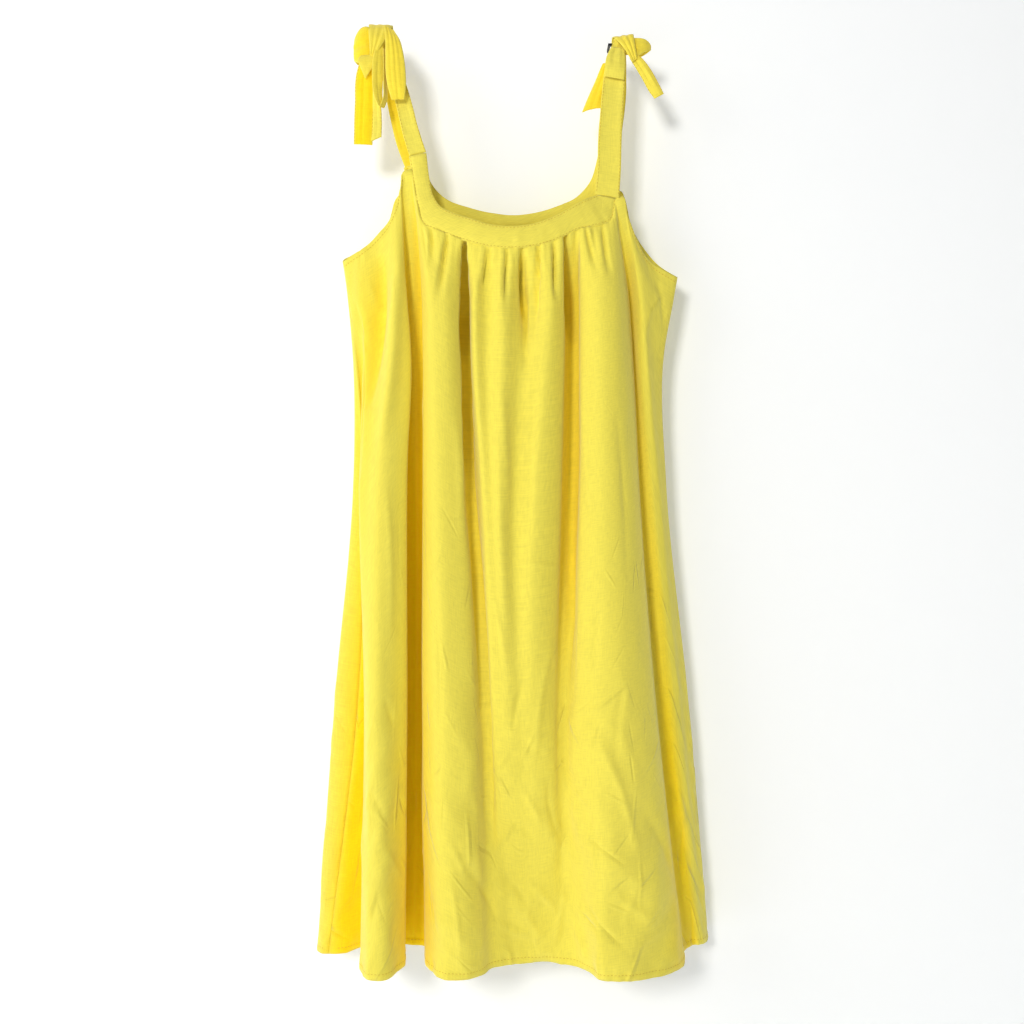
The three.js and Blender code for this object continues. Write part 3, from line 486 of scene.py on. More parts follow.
# columns: start x and z, end x and z, depth, half width, sideways bow, side (front -1, back 1)
CREASES = [
    (-119, -180, -119, -1200, 5, 14, 0, -1), (-156, -270, -172, -470, -5, 16, 4, -1),
    (-138, -300, -152, -520, 3, 14, 4, -1), (-186, -330, -184, -560, -2.5, 14, 0, -1),
    (-42, -560, -14, -1010, -5, 9, 2, -1), (88, -260, 84, -860, -4, 9, 0, -1),
    (22, -262, 27, -420, -4, 6, 1, -1), (115, -873, 164, -1017, 1.5, 6, 5, -1),
    (176, -1029, 146, -1101, 1.3, 5, -4, -1), (170, -960, 214, -1075, -1.2, 7, 6, -1),
    (-44, -1029, -10, -1107, -1.5, 6, 4, -1), (-10, -1107, 44, -1131, 1.2, 5, -3, -1),
    (76, -1071, 62, -1131, 1.2, 5, 2, -1), (-148, -825, -136, -861, -1.0, 4, 2, -1),
    (-64, -1041, -52, -1149, 1.0, 5, 3, -1), (20, -885, 50, -897, -1.2, 4, 1, -1),
    (50, -897, 66, -880, 1.0, 4, 1, -1), (2, -981, 40, -1002, -1.3, 5, 2, -1),
    (40, -1002, 72, -985, 1.2, 5, -2, -1), (20, -940, 46, -985, 1.1, 5, 3, -1),
    (52, -930, 70, -1010, -1.0, 6, -4, -1), (100, -960, 118, -1050, -1.2, 6, 5, -1),
    (130, -1060, 186, -1104, 1.4, 5, 4, -1), (96, -1096, 150, -1124, -1.2, 5, 3, -1),
    (148, -1124, 208, -1098, 1.1, 5, -4, -1), (30, -1060, 66, -1096, 1.2, 5, 3, -1),
    (-2, -1050, 30, -1085, -1.1, 5, 2, -1), (-70, -990, -44, -1046, 1.0, 5, 2, -1),
    (-90, -1060, -74, -1120, -0.9, 5, -2, -1), (-150, -1000, -128, -1050, 1.0, 5, 2, -1),
    (-164, -930, -140, -990, -1.0, 5, 3, -1), (202, -318, 180, -348, 1.0, 7, 2, -1),
    (186, -340, 172, -390, 0.8, 7, 2, -1), (196, -300, 206, -360, -1.0, 6, 2, -1),
    (-176, -300, -158, -356, 1.0, 6, 2, -1), (-192, -330, -170, -400, -0.9, 6, -3, -1),
    (-60, -480, -54, -620, 0.9, 8, 2, -1), (100, -420, 112, -640, 1.0, 9, -3, -1),
    (140, -470, 152, -690, -1.0, 9, 3, -1), (-4, -440, 4, -600, 1.1, 8, 2, -1),
    (42, -420, 30, -640, -1.2, 9, -3, -1), (20, -280, 28, -390, -1.5, 4, 2, -1),
    (36, -384, 41, -312, -1.2, 3.5, -1, -1), (-146, -560, -140, -760, 1.0, 8, 3, -1),
    (-84, -700, -78, -900, -0.9, 8, 3, -1), (60, -760, 40, -900, 1.1, 8, -5, -1),
    (190, -700, 206, -860, 1.1, 8, 4, -1), (150, -800, 136, -900, -1.0, 7, -4, -1),
    (212, -900, 232, -1010, 1.0, 7, 4, -1), (238, -980, 226, -1090, -1.1, 6, -4, -1),
    (-14, -700, 2, -790, 1.0, 7, 3, -1), (28, -800, 10, -870, -1.0, 6, -3, -1),
    (-180, -960, -168, -1080, 0.9, 7, 3, -1), (120, -700, 112, -800, -0.9, 8, -3, -1),
    (-106, -880, -100, -1040, 0.9, 6, 2, -1), (-120, -400, -90, -560, 1.2, 9, 6, 1),
    (-40, -380, -64, -560, -1.2, 9, -6, 1), (40, -420, 60, -600, 1.2, 9, 5, 1),
    (120, -380, 96, -560, -1.1, 9, -5, 1), (-170, -700, -130, -840, 1.3, 8, 6, 1),
    (-90, -800, -60, -960, -1.3, 7, 6, 1), (0, -760, 40, -900, 1.3, 7, 6, 1),
    (90, -820, 60, -960, -1.2, 7, -6, 1), (150, -760, 190, -920, 1.3, 7, 6, 1),
    (-200, -960, -160, -1060, 1.4, 6, 5, 1), (-110, -1010, -60, -1100, 1.3, 6, 5, 1),
    (-20, -1000, 40, -1060, -1.3, 6, 4, 1), (60, -1040, 120, -1110, 1.4, 6, -5, 1),
    (150, -1000, 220, -1080, -1.3, 6, 5, 1), (180, -1090, 120, -1130, 1.2, 5, 4, 1),
    (-220, -1080, -190, -1140, -1.1, 5, 3, 1), (0, -1090, -50, -1140, 1.2, 5, 4, 1),
    (-150, -440, -170, -600, 1.0, 9, -5, 1),
]
print(len(GATHERS) + len(FINE_GATHERS), "gathers and", len(CREASES), "creases placed by hand")

# %% [markdown]
# ## Height of the cloth above its smooth form
# All the small shapes are added up as one height along the outward normal. The paper-like crumple of the
# lowest third is ridged noise: the distance from zero of a smooth random surface makes sharp creases
# between soft faces.

# %% Height functions
def troughs(x, drop, table, scale):
    """Gathers: depth times sin(pi times the root of the run) down the cloth and cos squared across it."""
    depth = np.zeros_like(x)
    for place, deep, length, drift, half_width in table:
        run = np.clip(drop / length, 0, 1)
        off = np.clip((x - place - drift * run) / half_width, -1, 1)
        depth += scale * deep * np.sin(np.pi * np.sqrt(run)) * np.cos(np.pi * off / 2) ** 2
    return depth


def notch_depth(x, z):
    """Deep gathers that start at the seam as a narrow notch and open downwards: a flat-bottomed trough
    whose depth rises in a few millimetres and fades over the last half of its length."""
    depth = np.zeros_like(x)
    for x0, z0, x1, z1, deep, narrow, wide in NOTCHES:
        run = (z - z0) / (z1 - z0)
        middle = x0 + (x1 - x0) * np.clip(run, 0, 1)
        half_width = narrow + (wide - narrow) * np.clip(run, 0, 1)
        along = smooth_step((z0 + 3 - z) / 16) * (1 - smooth_step((run - 0.45) / 0.55))
        depth += deep * along * (1 - smooth_step((np.abs(x - middle) / half_width - 0.25) / 0.95))
    return depth


def crease_height(x, z, facing):
    """Creases: a bell across each line, tapered at both ends, bent sideways by its bow."""
    height = np.zeros_like(x)
    for x0, z0, x1, z1, depth, half_width, bow, side in CREASES:
        length = math.hypot(x1 - x0, z1 - z0)
        ux, uz = (x1 - x0) / length, (z1 - z0) / length
        s = ((x - x0) * ux + (z - z0) * uz) / length
        inside = np.clip(s, 0, 1)
        off = (x - x0) * uz - (z - z0) * ux + bow * np.sin(np.pi * inside)
        taper = np.sin(np.pi * inside) ** 0.6
        seen = smooth_step(0.5 + 1.2 * side * facing)
        height += 2.3 * depth * taper * seen / (1 + (off / (0.55 * half_width)) ** 2) ** 1.5
    return height


def soft_noise(u, v, size, seed):
    """Smooth random values from -1 to 1: a seeded random grid, blended between its corners."""
    grid = np.random.default_rng(seed).uniform(-1, 1, (64, 64))
    a, b = u / size, v / size
    i, j = np.floor(a).astype(int), np.floor(b).astype(int)
    s, t = smooth_step(a - i), smooth_step(b - j)
    at = lambda di, dj: grid[(i + di) % 64, (j + dj) % 64]
    return (at(0, 0) * (1 - s) + at(1, 0) * s) * (1 - t) + (at(0, 1) * (1 - s) + at(1, 1) * s) * t


def crumple(u, v, size, seed, turn):
    """Ridged noise on axes turned by the given degrees: 1 minus the distance from zero, less its mean."""
    c, s = math.cos(math.radians(turn)), math.sin(math.radians(turn))
    p, q = u * c + v * s, (v * c - u * s) * 0.6
    return 0.5 - np.abs(soft_noise(p, q, size, seed))


print("ridged noise at one place:", round(float(crumple(np.array(3.0), np.array(5.0), 40, 1, 30)), 3))

# %% [markdown]
# ## Making closed shells
# Cloth is modelled as a thin closed wall: the middle surface is moved half the thickness to each side and
# the rims are joined. A closed wall shades and shadows properly from both sides, which a single face
# would not.

# %% Shells
def grid_normals(grid, closed=False):
    """Unit normals of a grid: the cross product of the directions down and across it."""
    if closed:
        across = np.roll(grid, -1, axis=0) - np.roll(grid, 1, axis=0)
    else:
        across = np.gradient(grid, axis=0)
    normal = np.cross(np.gradient(grid, axis=1), across)
    return normal / np.maximum(np.linalg.norm(normal, axis=-1, keepdims=True), 1e-9)


def path_lengths(grid, axis):
    """Distance along one axis of a grid of points, from 0."""
    steps = np.linalg.norm(np.diff(grid, axis=axis), axis=-1)
    zero = np.zeros_like(np.take(steps, [0], axis=axis))
    return np.cumsum(np.concatenate([zero, steps], axis=axis), axis=axis)


def line_lengths(line):
    """Distance along a line of points, from 0."""
    return np.cumsum(np.concatenate([[0], np.linalg.norm(np.diff(line, axis=0), axis=-1)]))


def shell_mesh(name, grid, thickness, normals=None, uv=None, painted_fold_light=0.0, creased=0.3):
    """A closed wall round a grid of points in millimetres, half its thickness on each side."""
    columns, rows = grid.shape[:2]
    normals = grid_normals(grid) if normals is None else normals
    half = np.broadcast_to(np.asarray(thickness, float) / 2, (columns, rows))[..., None]
    points = np.concatenate([grid + normals * half, grid - normals * half]).reshape(-1, 3) * MM
    n = np.arange(columns * rows).reshape(columns, rows)
    m = n + columns * rows
    quad = lambda a, b, c, d: np.stack([a, b, c, d], axis=-1).reshape(-1, 4)
    faces = np.concatenate([
        quad(n[:-1, :-1], n[:-1, 1:], n[1:, 1:], n[1:, :-1]),
        quad(m[:-1, :-1], m[1:, :-1], m[1:, 1:], m[:-1, 1:]),
        quad(n[:-1, 0], n[1:, 0], m[1:, 0], m[:-1, 0]), quad(n[1:, -1], n[:-1, -1], m[:-1, -1], m[1:, -1]),
        quad(n[0, 1:], n[0, :-1], m[0, :-1], m[0, 1:]), quad(n[-1, :-1], n[-1, 1:], m[-1, 1:], m[-1, :-1])])
    corner = points[faces]
    volume = (np.cross(corner[:, 1] - corner[:, 0], corner[:, 2] - corner[:, 0]) * corner[:, 0]).sum() \
        + (np.cross(corner[:, 2] - corner[:, 0], corner[:, 3] - corner[:, 0]) * corner[:, 0]).sum()
    faces = faces[:, ::-1] if volume < 0 else faces
    uv = np.stack([path_lengths(grid, 0), path_lengths(grid, 1)], axis=-1) if uv is None else uv
    both_sides = lambda values: np.tile((np.zeros((columns, rows)) + values).ravel(), 2)
    return mesh_object(name, points, faces, np.tile(uv.reshape(-1, 2), (2, 1)) * MM, both_sides(painted_fold_light),
                       both_sides(creased))


def mesh_object(name, points, faces, uv=None, painted_fold_light=0.0, creased=0.3):
    """A smooth-shaded mesh object from points and a cloth map in metres and four-cornered faces."""
    mesh = bpy.data.meshes.new(name)
    mesh.vertices.add(len(points))
    mesh.vertices.foreach_set("co", np.ascontiguousarray(points, np.float32).ravel())
    mesh.loops.add(faces.size)
    mesh.loops.foreach_set("vertex_index", np.ascontiguousarray(faces, np.int32).ravel())
    mesh.polygons.add(len(faces))
    mesh.polygons.foreach_set("loop_start", np.arange(0, faces.size, faces.shape[1], dtype=np.int32))
    mesh.polygons.foreach_set("use_smooth", np.ones(len(faces), bool))
    if uv is not None:
        layer = mesh.uv_layers.new(name="cloth")
        layer.data.foreach_set("uv", np.ascontiguousarray(uv[faces.ravel()], np.float32).ravel())
    # the first attribute is the mask of painted light in folds, a deeper gold and faint glow; creased sets
    # the strength of crease bumps
    for key, values in (("painted_fold_light", painted_fold_light), ("creased", creased)):
        attribute = mesh.attributes.new(name=key, type="FLOAT", domain="POINT")
        spread = np.ascontiguousarray(np.zeros(len(points)) + values, np.float32)
        attribute.data.foreach_set("value", spread)
    mesh.update(calc_edges=True)
    mesh.validate()
    obj = bpy.data.objects.new(name, mesh)
    bpy.context.scene.collection.objects.link(obj)
    return obj


print("shell maker ready")

# %% [markdown]
# ## The two panels
# The smooth ring gets its gathers, creases, crumple and puckers along its normals, then it is cut at the
# side seams. How deep each place lies behind the crests beside it is kept as a mask of painted light: the
# hollows are painted a deeper gold with a faint painted glow, most of all on the left, where the photograph
# shows the deepest gold. The hems are a little thicker, because the cloth is turned up there.

# %% Panels
PANEL_WALL = 0.9
HEM_EXTRA = 0.8
ARM_HEM_EXTRA = 0.5
HEM_HEIGHT = 8
ARM_HEM_HEIGHT = 8
GATHER_SCALE = 1.2
FINE_GATHER_SCALE = 1.4
LOW_THIRD_TOP, LOW_THIRD_FADE = -700, 330
CREASED_TOP, CREASED_FADE = -450, 480
SEAM_COLUMNS = 3
SEAM_DIP = 0.8
CREST_COLUMNS = 18
# painted light in the folds: the hollow depth where it starts and grows to full, the left and right edges
# beyond which it is full, and its share in the upper middle
FOLD_START, FOLD_FADE = 14, 40
LEFT_EDGE, RIGHT_EDGE, EDGE_FADE = -60, 185, 30
MIDDLE_PAINTED_LIGHT, MIDDLE_END, MIDDLE_FADE = 0.45, -640, 200
smooth_normals = grid_normals(ring, closed=True)
facing = smooth_normals[..., 1]
x, z = ring[..., 0], ring[..., 2]
hem_rise = z - HEM_Z
cloth_u = line_lengths(ring[:, -1])[:, None] + 0 * z
cloth_v = path_lengths(ring, 1)
notched = is_front[:, None] * notch_depth(x, z)
drawn_in = troughs(x, drops, GATHERS, GATHER_SCALE) + troughs(x, drops, FINE_GATHERS, FINE_GATHER_SCALE)
gathered = notched + is_sewn[:, None] * drawn_in
low_third = smooth_step((LOW_THIRD_TOP - z) / LOW_THIRD_FADE)
broad = 2.6 * crumple(cloth_u, cloth_v, 62, 11, 35) + 2.3 * crumple(cloth_u, cloth_v, 36, 12, -28)
crumpled = (0.2 + 1.7 * low_third) * broad
crumpled += (0.2 + 1.5 * low_third) * 1.3 * crumple(cloth_u, cloth_v, 19, 13, 60)
crumpled *= smooth_step(1.7 * np.abs(facing) - 0.45)
ripples = 0.45 * soft_noise(cloth_u, cloth_v * 0.12, 14, 21) * (0.3 + 0.5 * np.exp(-drops / 90))
puckers = 1.6 * soft_noise(cloth_u, cloth_v * 0.15, 7, 22) * np.exp(-((hem_rise - HEM_HEIGHT) / 9) ** 2)
puckers -= 0.8 * np.exp(-((hem_rise - HEM_HEIGHT) / 2.2) ** 2)
free_top = ~is_sewn[:, None]
arm_length = line_lengths(ring[:, 0])[:, None] + 0 * z
at_arm_hem = np.exp(-((drops - ARM_HEM_HEIGHT) / 8) ** 2)
arm_puckers = free_top * 0.7 * soft_noise(arm_length, drops * 0.3, 4.5, 23) * at_arm_hem
wave = free_top * 0.9 * soft_noise(arm_length, drops * 0.2, 16, 24) * np.exp(-drops / 26)
puff = is_front[:, None] * is_sewn[:, None] * 1.8 * (drops / 9) * np.exp(1 - drops / 9)
height = puff - gathered + crease_height(x, z, facing) + crumpled + ripples + puckers + arm_puckers + wave
seam_fade = np.ones_like(z)
place = np.arange(len(ring))
for seam in (0, FRONT_COLUMNS, len(ring)):
    seam_fade *= smooth_step(np.abs(place - seam) / SEAM_COLUMNS)[:, None]
height *= 0.25 + 0.75 * seam_fade
height -= SEAM_DIP * (1 - seam_fade)
cloth = ring + smooth_normals * height[..., None]
cloth_normals = grid_normals(cloth, closed=True)
cloth_y = cloth[..., 1]
# painted light: how far each place lies behind the nearest crest becomes the mask of painted gold and glow,
# on faces turned to the front, mostly at the left and right sides and in the upper middle
near_crest = cloth_y
for step in range(1, CREST_COLUMNS + 1):
    beside = np.minimum(np.roll(cloth_y, step, axis=0), np.roll(cloth_y, -step, axis=0))
    near_crest = np.minimum(near_crest, beside)
at_left, at_right = smooth_step((LEFT_EDGE - x) / EDGE_FADE), smooth_step((x - RIGHT_EDGE) / EDGE_FADE)
painted_fold_light_mask = np.clip((cloth_y - near_crest - FOLD_START + 9 * at_left) / FOLD_FADE, 0, 1)
painted_fold_light_mask *= smooth_step(0.5 - 1.2 * facing)
in_middle = MIDDLE_PAINTED_LIGHT * (1 - smooth_step((MIDDLE_END - z) / MIDDLE_FADE))
painted_fold_light_mask *= np.clip(in_middle + at_left + 0.8 * at_right, 0, 1)
low_down = np.clip((CREASED_TOP - z) / CREASED_FADE, 0, 1)
patches = np.clip(0.75 + 0.6 * soft_noise(cloth_u, cloth_v, 90, 51), 0.35, 1)
creased = (0.15 + 0.85 * low_down) * patches
thickness = PANEL_WALL + HEM_EXTRA * (hem_rise < HEM_HEIGHT)
thickness = thickness + ARM_HEM_EXTRA * free_top * (drops < ARM_HEM_HEIGHT)
cut = {"front_panel": np.arange(0, FRONT_COLUMNS + 1),
       "back_panel": np.arange(FRONT_COLUMNS, len(ring) + 1)}
panels, cloth_grids = {}, {}
for name, columns in cut.items():
    c = columns % len(ring)
    grid = cloth[c].copy()
    width = line_lengths(grid[:, -1])
    uv = np.stack([width[:, None] + 0 * cloth_v[c], cloth_v[c]], axis=-1)
    cloth_grids[name] = grid
    panels[name] = shell_mesh(name + "_cloth", grid, thickness[c], cloth_normals[c], uv, painted_fold_light_mask[c],
                              creased[c])
    print(name, "hem length", round(width[-1]), "mm, triangles", 2 * len(panels[name].data.polygons))

# %% [markdown]
# ## Neck bands
# A band is a folded strip, stitched along both edges, so its middle stands a little proud of the seams.
# Gathered cloth below pulls at it unevenly, which shows as faint dents along the lower edge.

# %% Bands
BAND_WALL = 1.8


def band_grid(sections, steps=10, cross=14):
    """Points across a band from its neck edge to its lower edge, crowned by 4t(1 - t) and dented."""
    table = np.array([row[1:] for row in sections], float)
    spans, parts = even_steps(len(table) - 1, steps)
    low = through_points(np.stack([table[:, 0], table[:, 4], table[:, 1]], -1), spans, parts)
    neck = through_points(np.stack([table[:, 2], table[:, 4], table[:, 3]], -1), spans, parts)
    t = np.linspace(0, 1, cross + 1)
    grid = neck[:, None] * (1 - t)[None, :, None] + low[:, None] * t[None, :, None]
    along = path_lengths(low[:, None], 0)[:, :1]
    dents = 0.6 * soft_noise(along, 0 * along, 7, 31) * t ** 2
    dents = dents + 0.35 * soft_noise(along, 12 * t, 11, 32)
    dents = dents + 0.25 * soft_noise(along, 9 * t, 5, 33)
    off_neck, off_seam = (t - 1 / cross) / 0.05, (t - 1 + 1 / cross) / 0.05
    stitched = 0.6 * np.exp(-off_neck ** 2) + 0.9 * np.exp(-off_seam ** 2)
    grid[..., 1] -= 1.5 * 4 * t * (1 - t) + dents - stitched
    return grid


bands = {}
for name, sections in (("front_neck_band", FRONT_BAND), ("back_neck_band", BACK_BAND)):
    grid = band_grid(sections)
    cloth_grids[name] = grid
    bands[name] = shell_mesh(name + "_cloth", grid, BAND_WALL)
    print(name, "length", round(float(path_lengths(grid, 0)[-1, 7])), "mm")

# %% [markdown]
# ## Ribbons: straps, loops and tails
# Each tie is one curve with its own width, turn, tilt and crown at every section. Lengthwise folds run
# where a knot squeezes the ribbon, so the folds are deepest near the knots. The rims are thinned a
# little, which rounds them as a turned and pressed edge is. Some ribbons lie in the light that others let
# through; that light is painted on them as the same deeper gold and faint glow as in the panels' folds,
# which stops short of their edges, so these stay pale.

# %% Ribbon shapes
RIBBON_WALL = 1.5
# columns: ribbon, place across it from -1 to 1, depth, half width as a part of the ribbon, start and end
# along it
RIBBON_FOLDS = [
    ("strap_front_left", -0.35, -1.1, 0.22, 0.35, 1.25), ("strap_front_left", 0.25, 0.9, 0.2, 0.45, 1.3),
    ("strap_front_left", 0.62, -0.8, 0.16, 0.1, 0.9), ("strap_front_left", -0.7, 0.7, 0.16, 0.2, 1.1),
    ("strap_back_left", 0.1, -1.2, 0.25, 0.3, 1.2), ("strap_back_left", -0.5, 0.8, 0.2, 0.1, 0.9),
    ("strap_front_right", -0.3, -0.7, 0.2, 0.5, 1.25), ("strap_front_right", 0.35, 0.8, 0.2, 0.6, 1.3),
    ("strap_front_right", 0.7, -0.5, 0.14, 0.15, 0.7), ("strap_back_right", 0.1, -1.2, 0.25, 0.3, 1.2),
    ("strap_back_right", -0.45, 0.8, 0.2, 0.2, 1.1), ("knot_left_wrap", -0.4, -1.3, 0.2, 0.1, 1.2),
    ("knot_left_wrap", 0.2, -1.5, 0.2, 0.3, 1.3), ("knot_left_wrap", 0.6, 0.9, 0.2, 0.2, 1.1),
    ("bow_left_round", -0.3, -1.4, 0.2, -0.2, 0.6), ("bow_left_round", 0.35, -1.2, 0.2, -0.2, 0.7),
    ("bow_left_round", 0.0, 1.0, 0.2, -0.1, 0.5), ("bow_left_round", -0.6, -1.0, 0.16, 0.5, 1.2),
    ("tie_end_left", 0.0, -0.8, 0.3, -0.2, 0.8), ("tail_left_wide", -0.1, -1.4, 0.16, -0.2, 1.2),
    ("tail_left_wide", 0.45, 0.9, 0.2, -0.1, 0.8), ("tail_left_wide", -0.6, -0.7, 0.16, 0.3, 1.2),
    ("tail_left_narrow", 0.2, -0.8, 0.2, -0.2, 1.1), ("tail_left_narrow", -0.4, 0.7, 0.2, 0.1, 1.2),
    ("loop_left_narrow", 0.0, -0.7, 0.25, 0.0, 0.5), ("loop_left_drape", -0.45, -1.3, 0.18, -0.2, 0.55),
    ("loop_left_drape", 0.05, -1.5, 0.18, -0.2, 0.6), ("loop_left_drape", 0.5, -1.1, 0.18, -0.2, 0.5),
    ("loop_left_drape", 0.0, -1.0, 0.25, 0.5, 1.2), ("knot_right_wrap", -0.35, -1.2, 0.2, 0.1, 1.2),
    ("knot_right_wrap", 0.3, -1.4, 0.2, 0.2, 1.2), ("fold_right_over", -0.3, -0.9, 0.2, -0.2, 0.8),
    ("fold_right_over", 0.35, 0.8, 0.2, -0.2, 0.7), ("bow_right_loop", -0.2, -1.0, 0.25, -0.2, 0.5),
    ("bow_right_loop", 0.3, 0.8, 0.2, -0.2, 0.5), ("tail_right_long", -0.2, -1.0, 0.2, -0.2, 0.8),
    ("tail_right_long", 0.4, 0.8, 0.2, 0.0, 1.1), ("tail_right_back", 0.0, -1.3, 0.2, -0.2, 1.2),
    ("tail_right_back", 0.5, 0.8, 0.2, 0.1, 1.2),
]


def ribbon_grid(name, sections, steps=12, cross=20):
    """Points of a ribbon: its centre curve, plus side times half its width, plus the crown times 1 - side
    squared and the lengthwise folds, each a bell across the ribbon that grows and fades along it."""
    table = np.array(sections, float)
    spans, parts = even_steps(len(table) - 1, steps)
    centre = through_points(table[:, :3], spans, parts)
    rows = np.arange(len(table), dtype=float)
    width, turn, tilt, crown = curve_at(rows, table[:, 3:], spans + parts).T
    turn, tilt = np.radians(turn), np.radians(tilt)
    across = np.stack([np.cos(turn) * np.cos(tilt), np.sin(turn) * np.cos(tilt), np.sin(tilt)], -1)
    proud = np.cross(np.gradient(centre, axis=0), across)
    proud /= np.linalg.norm(proud, axis=-1, keepdims=True)
    side = np.linspace(-1, 1, cross + 1)
    run = np.linspace(0, 1, len(centre))[:, None]
    lift = crown[:, None] * (1 - side ** 2)
    for ribbon, place, depth, spread, start, end in RIBBON_FOLDS:
        if ribbon == name:
            along = np.sin(np.pi * np.clip((run - start) / (end - start), 0, 1))
            lift = lift + depth * along * np.exp(-((side - place) / spread) ** 2)
    length = path_lengths(centre[:, None], 0)[:, :1]
    seed = 40 + list(RIBBONS).index(name)
    lift = lift + 0.35 * soft_noise(length, side * 9, 9, seed)
    lift = lift + 0.2 * soft_noise(length, side * 6, 4, seed + 30)
    grid = centre[:, None] + across[:, None] * (side[None, :, None] * width[:, None, None] / 2)
    return grid + proud[:, None] * lift[..., None], RIBBON_WALL * (1 - 0.45 * side[None, :] ** 8 + 0 * run)


# how much painted light, a deeper gold and a faint glow, each ribbon gets between its pale pressed edges,
# from 0 to 1
RIBBON_PAINTED_LIGHT = {
    "tail_left_wide": 0.95, "bow_left_round": 0.75, "strap_back_left": 0.65, "tail_right_back": 0.7,
    "loop_left_drape": 0.5, "strap_back_right": 0.4, "loop_left_narrow": 0.35, "knot_right_wrap": 0.35,
    "bow_right_loop": 0.35, "knot_left_wrap": 0.3, "tie_end_left": 0.25, "tail_right_long": 0.25,
}
ribbons = {}
for name, sections in RIBBONS.items():
    grid, wall = ribbon_grid(name, sections)
    side = np.linspace(-1, 1, grid.shape[1])
    # painted light across the ribbon: full in the middle and none at the edges
    painted_light_share = RIBBON_PAINTED_LIGHT.get(name, 0.0) * (1 - side ** 8) + 0 * grid[..., 0]
    cloth_grids[name] = grid
    ribbons[name] = shell_mesh(name + "_cloth", grid, wall, painted_fold_light=painted_light_share)
print(len(ribbons), "ribbons, each", 2 * len(ribbons["tail_left_wide"].data.polygons), "triangles or so")

# %% [markdown]
# ## Sewing
# Rows of short stitches run along the hems, the armholes, both edges of the bands and the larger ribbons,
# in a thread a little deeper in colour than the cloth. Real ones are about 2.4 mm long in a thread of
# about 0.3 mm; they are drawn coarser so that they show in the picture. A stitch is a small bar whose ends
# dip into the cloth; each row of them is one mesh.

# %% Stitch rows
STITCH_LENGTH = 3.0
STITCH_GAP = 1.5
THREAD = 0.6


def stitch_row(name, line, normals):
    """Stitches along a line of points: each is a bar of four sides with a raised middle."""
    length = path_lengths(line[:, None], 0)[:, 0]
    pitch = STITCH_LENGTH + STITCH_GAP
    start = np.arange(pitch, length[-1] - pitch, pitch)
    read = lambda at, table: np.stack([np.interp(at, length, table[:, k]) for k in range(3)], -1)
    shape = [(0.0, -0.25, 0.35), (0.25, 0.28, 1.0), (0.75, 0.28, 1.0), (1.0, -0.25, 0.35)]
    rings = []
    for part, lift, fat in shape:
        at = start + part * STITCH_LENGTH
        centre, up = read(at, line), read(at, normals)
        ahead = read(at + 0.2, line) - read(at - 0.2, line)
        side = np.cross(ahead, up)
        side /= np.linalg.norm(side, axis=-1, keepdims=True)
        up = up / np.linalg.norm(up, axis=-1, keepdims=True)
        centre = centre + up * lift * THREAD
        for a, b in ((1, 0), (0, 1), (-1, 0), (0, -1)):
            rings.append(centre + (side * a + up * b) * fat * THREAD / 2)
    points = np.stack(rings, axis=1)
    side_faces = []
    for s in (0, 4, 8):
        side_faces += [(s + k, s + (k + 1) % 4, s + 4 + (k + 1) % 4, s + 4 + k) for k in range(4)]
    one = np.array(side_faces + [(3, 2, 1, 0), (12, 13, 14, 15)])[:, ::-1]
    faces = (one[None] + 16 * np.arange(len(start))[:, None, None]).reshape(-1, 4)
    return mesh_object(name, points.reshape(-1, 3) * MM, faces)


def panel_line(columns, down, above_hem):
    """A line on the outside of the cloth: a given distance below its top edge or above its hem."""
    c = columns % len(ring)
    level = (drops[c] - down) if above_hem is None else (above_hem - hem_rise[c])
    rows = np.arange(ROWS)
    at = np.array([np.interp(0, level[i], rows) for i in range(len(c))])
    j = np.minimum(at.astype(int), ROWS - 2)
    t = (at - j)[:, None]
    pick = lambda table: table[c, j] * (1 - t) + table[c, j + 1] * t
    normals = pick(cloth_normals)
    return pick(cloth) + normals * (PANEL_WALL + HEM_EXTRA) / 2, normals


stitches = []
ARM_LEAST_COLUMNS = 8


def sew(piece, seam, line, normals):
    """Adds one row of stitches to a piece of cloth."""
    stitches.append((stitch_row(f"{piece}_{seam}", line, normals), piece))


def sew_edges(piece, wall, edges):
    """Rows of stitches along columns of a band or ribbon, on the side that is turned away from the body."""
    grid = cloth_grids[piece]
    normals = grid_normals(grid)
    outward = 1 if "back" in piece else -1
    middle = grid.shape[1] // 2
    normals = normals * np.sign(outward * normals[:, middle:middle + 1, 1:2])
    surface = grid + normals * wall / 2
    for edge, column in edges:
        sew(piece, f"{edge}_stitches", surface[:, column], normals[:, column])


for name, columns in cut.items():
    sew(name, "hem_stitches", *panel_line(columns[1:-1], 0, HEM_HEIGHT - 1))
free = np.nonzero(~is_sewn)[0]
for run in np.split(free, np.nonzero(np.diff(free) > 1)[0] + 1):
    for name, columns in cut.items():
        inside = run[(run >= columns[0]) & (run < columns[-1])]
        if len(inside) > ARM_LEAST_COLUMNS:
            sew(name, f"arm_stitches_{int(inside[0])}", *panel_line(inside, ARM_HEM_HEIGHT - 1, None))
for name in bands:
    sew_edges(name, BAND_WALL, (("neck", 1), ("seam", 13)))
for name in ("strap_front_left", "strap_front_right", "strap_back_left", "strap_back_right",
             "tail_left_wide", "tail_left_narrow", "tail_right_long"):
    sew_edges(name, RIBBON_WALL, (("left", 1), ("right", 19)))
print(len(stitches), "rows of stitches,", sum(len(o.data.polygons) for o, _ in stitches) // 14, "stitches")

# %% [markdown]
# ## Colours and shader helpers
# Colours are hex values, tuned until the picture came near the photograph, and turned into linear light
# by the sRGB formula.
# One small function adds a node with its settings and its links, so each material reads as a recipe.

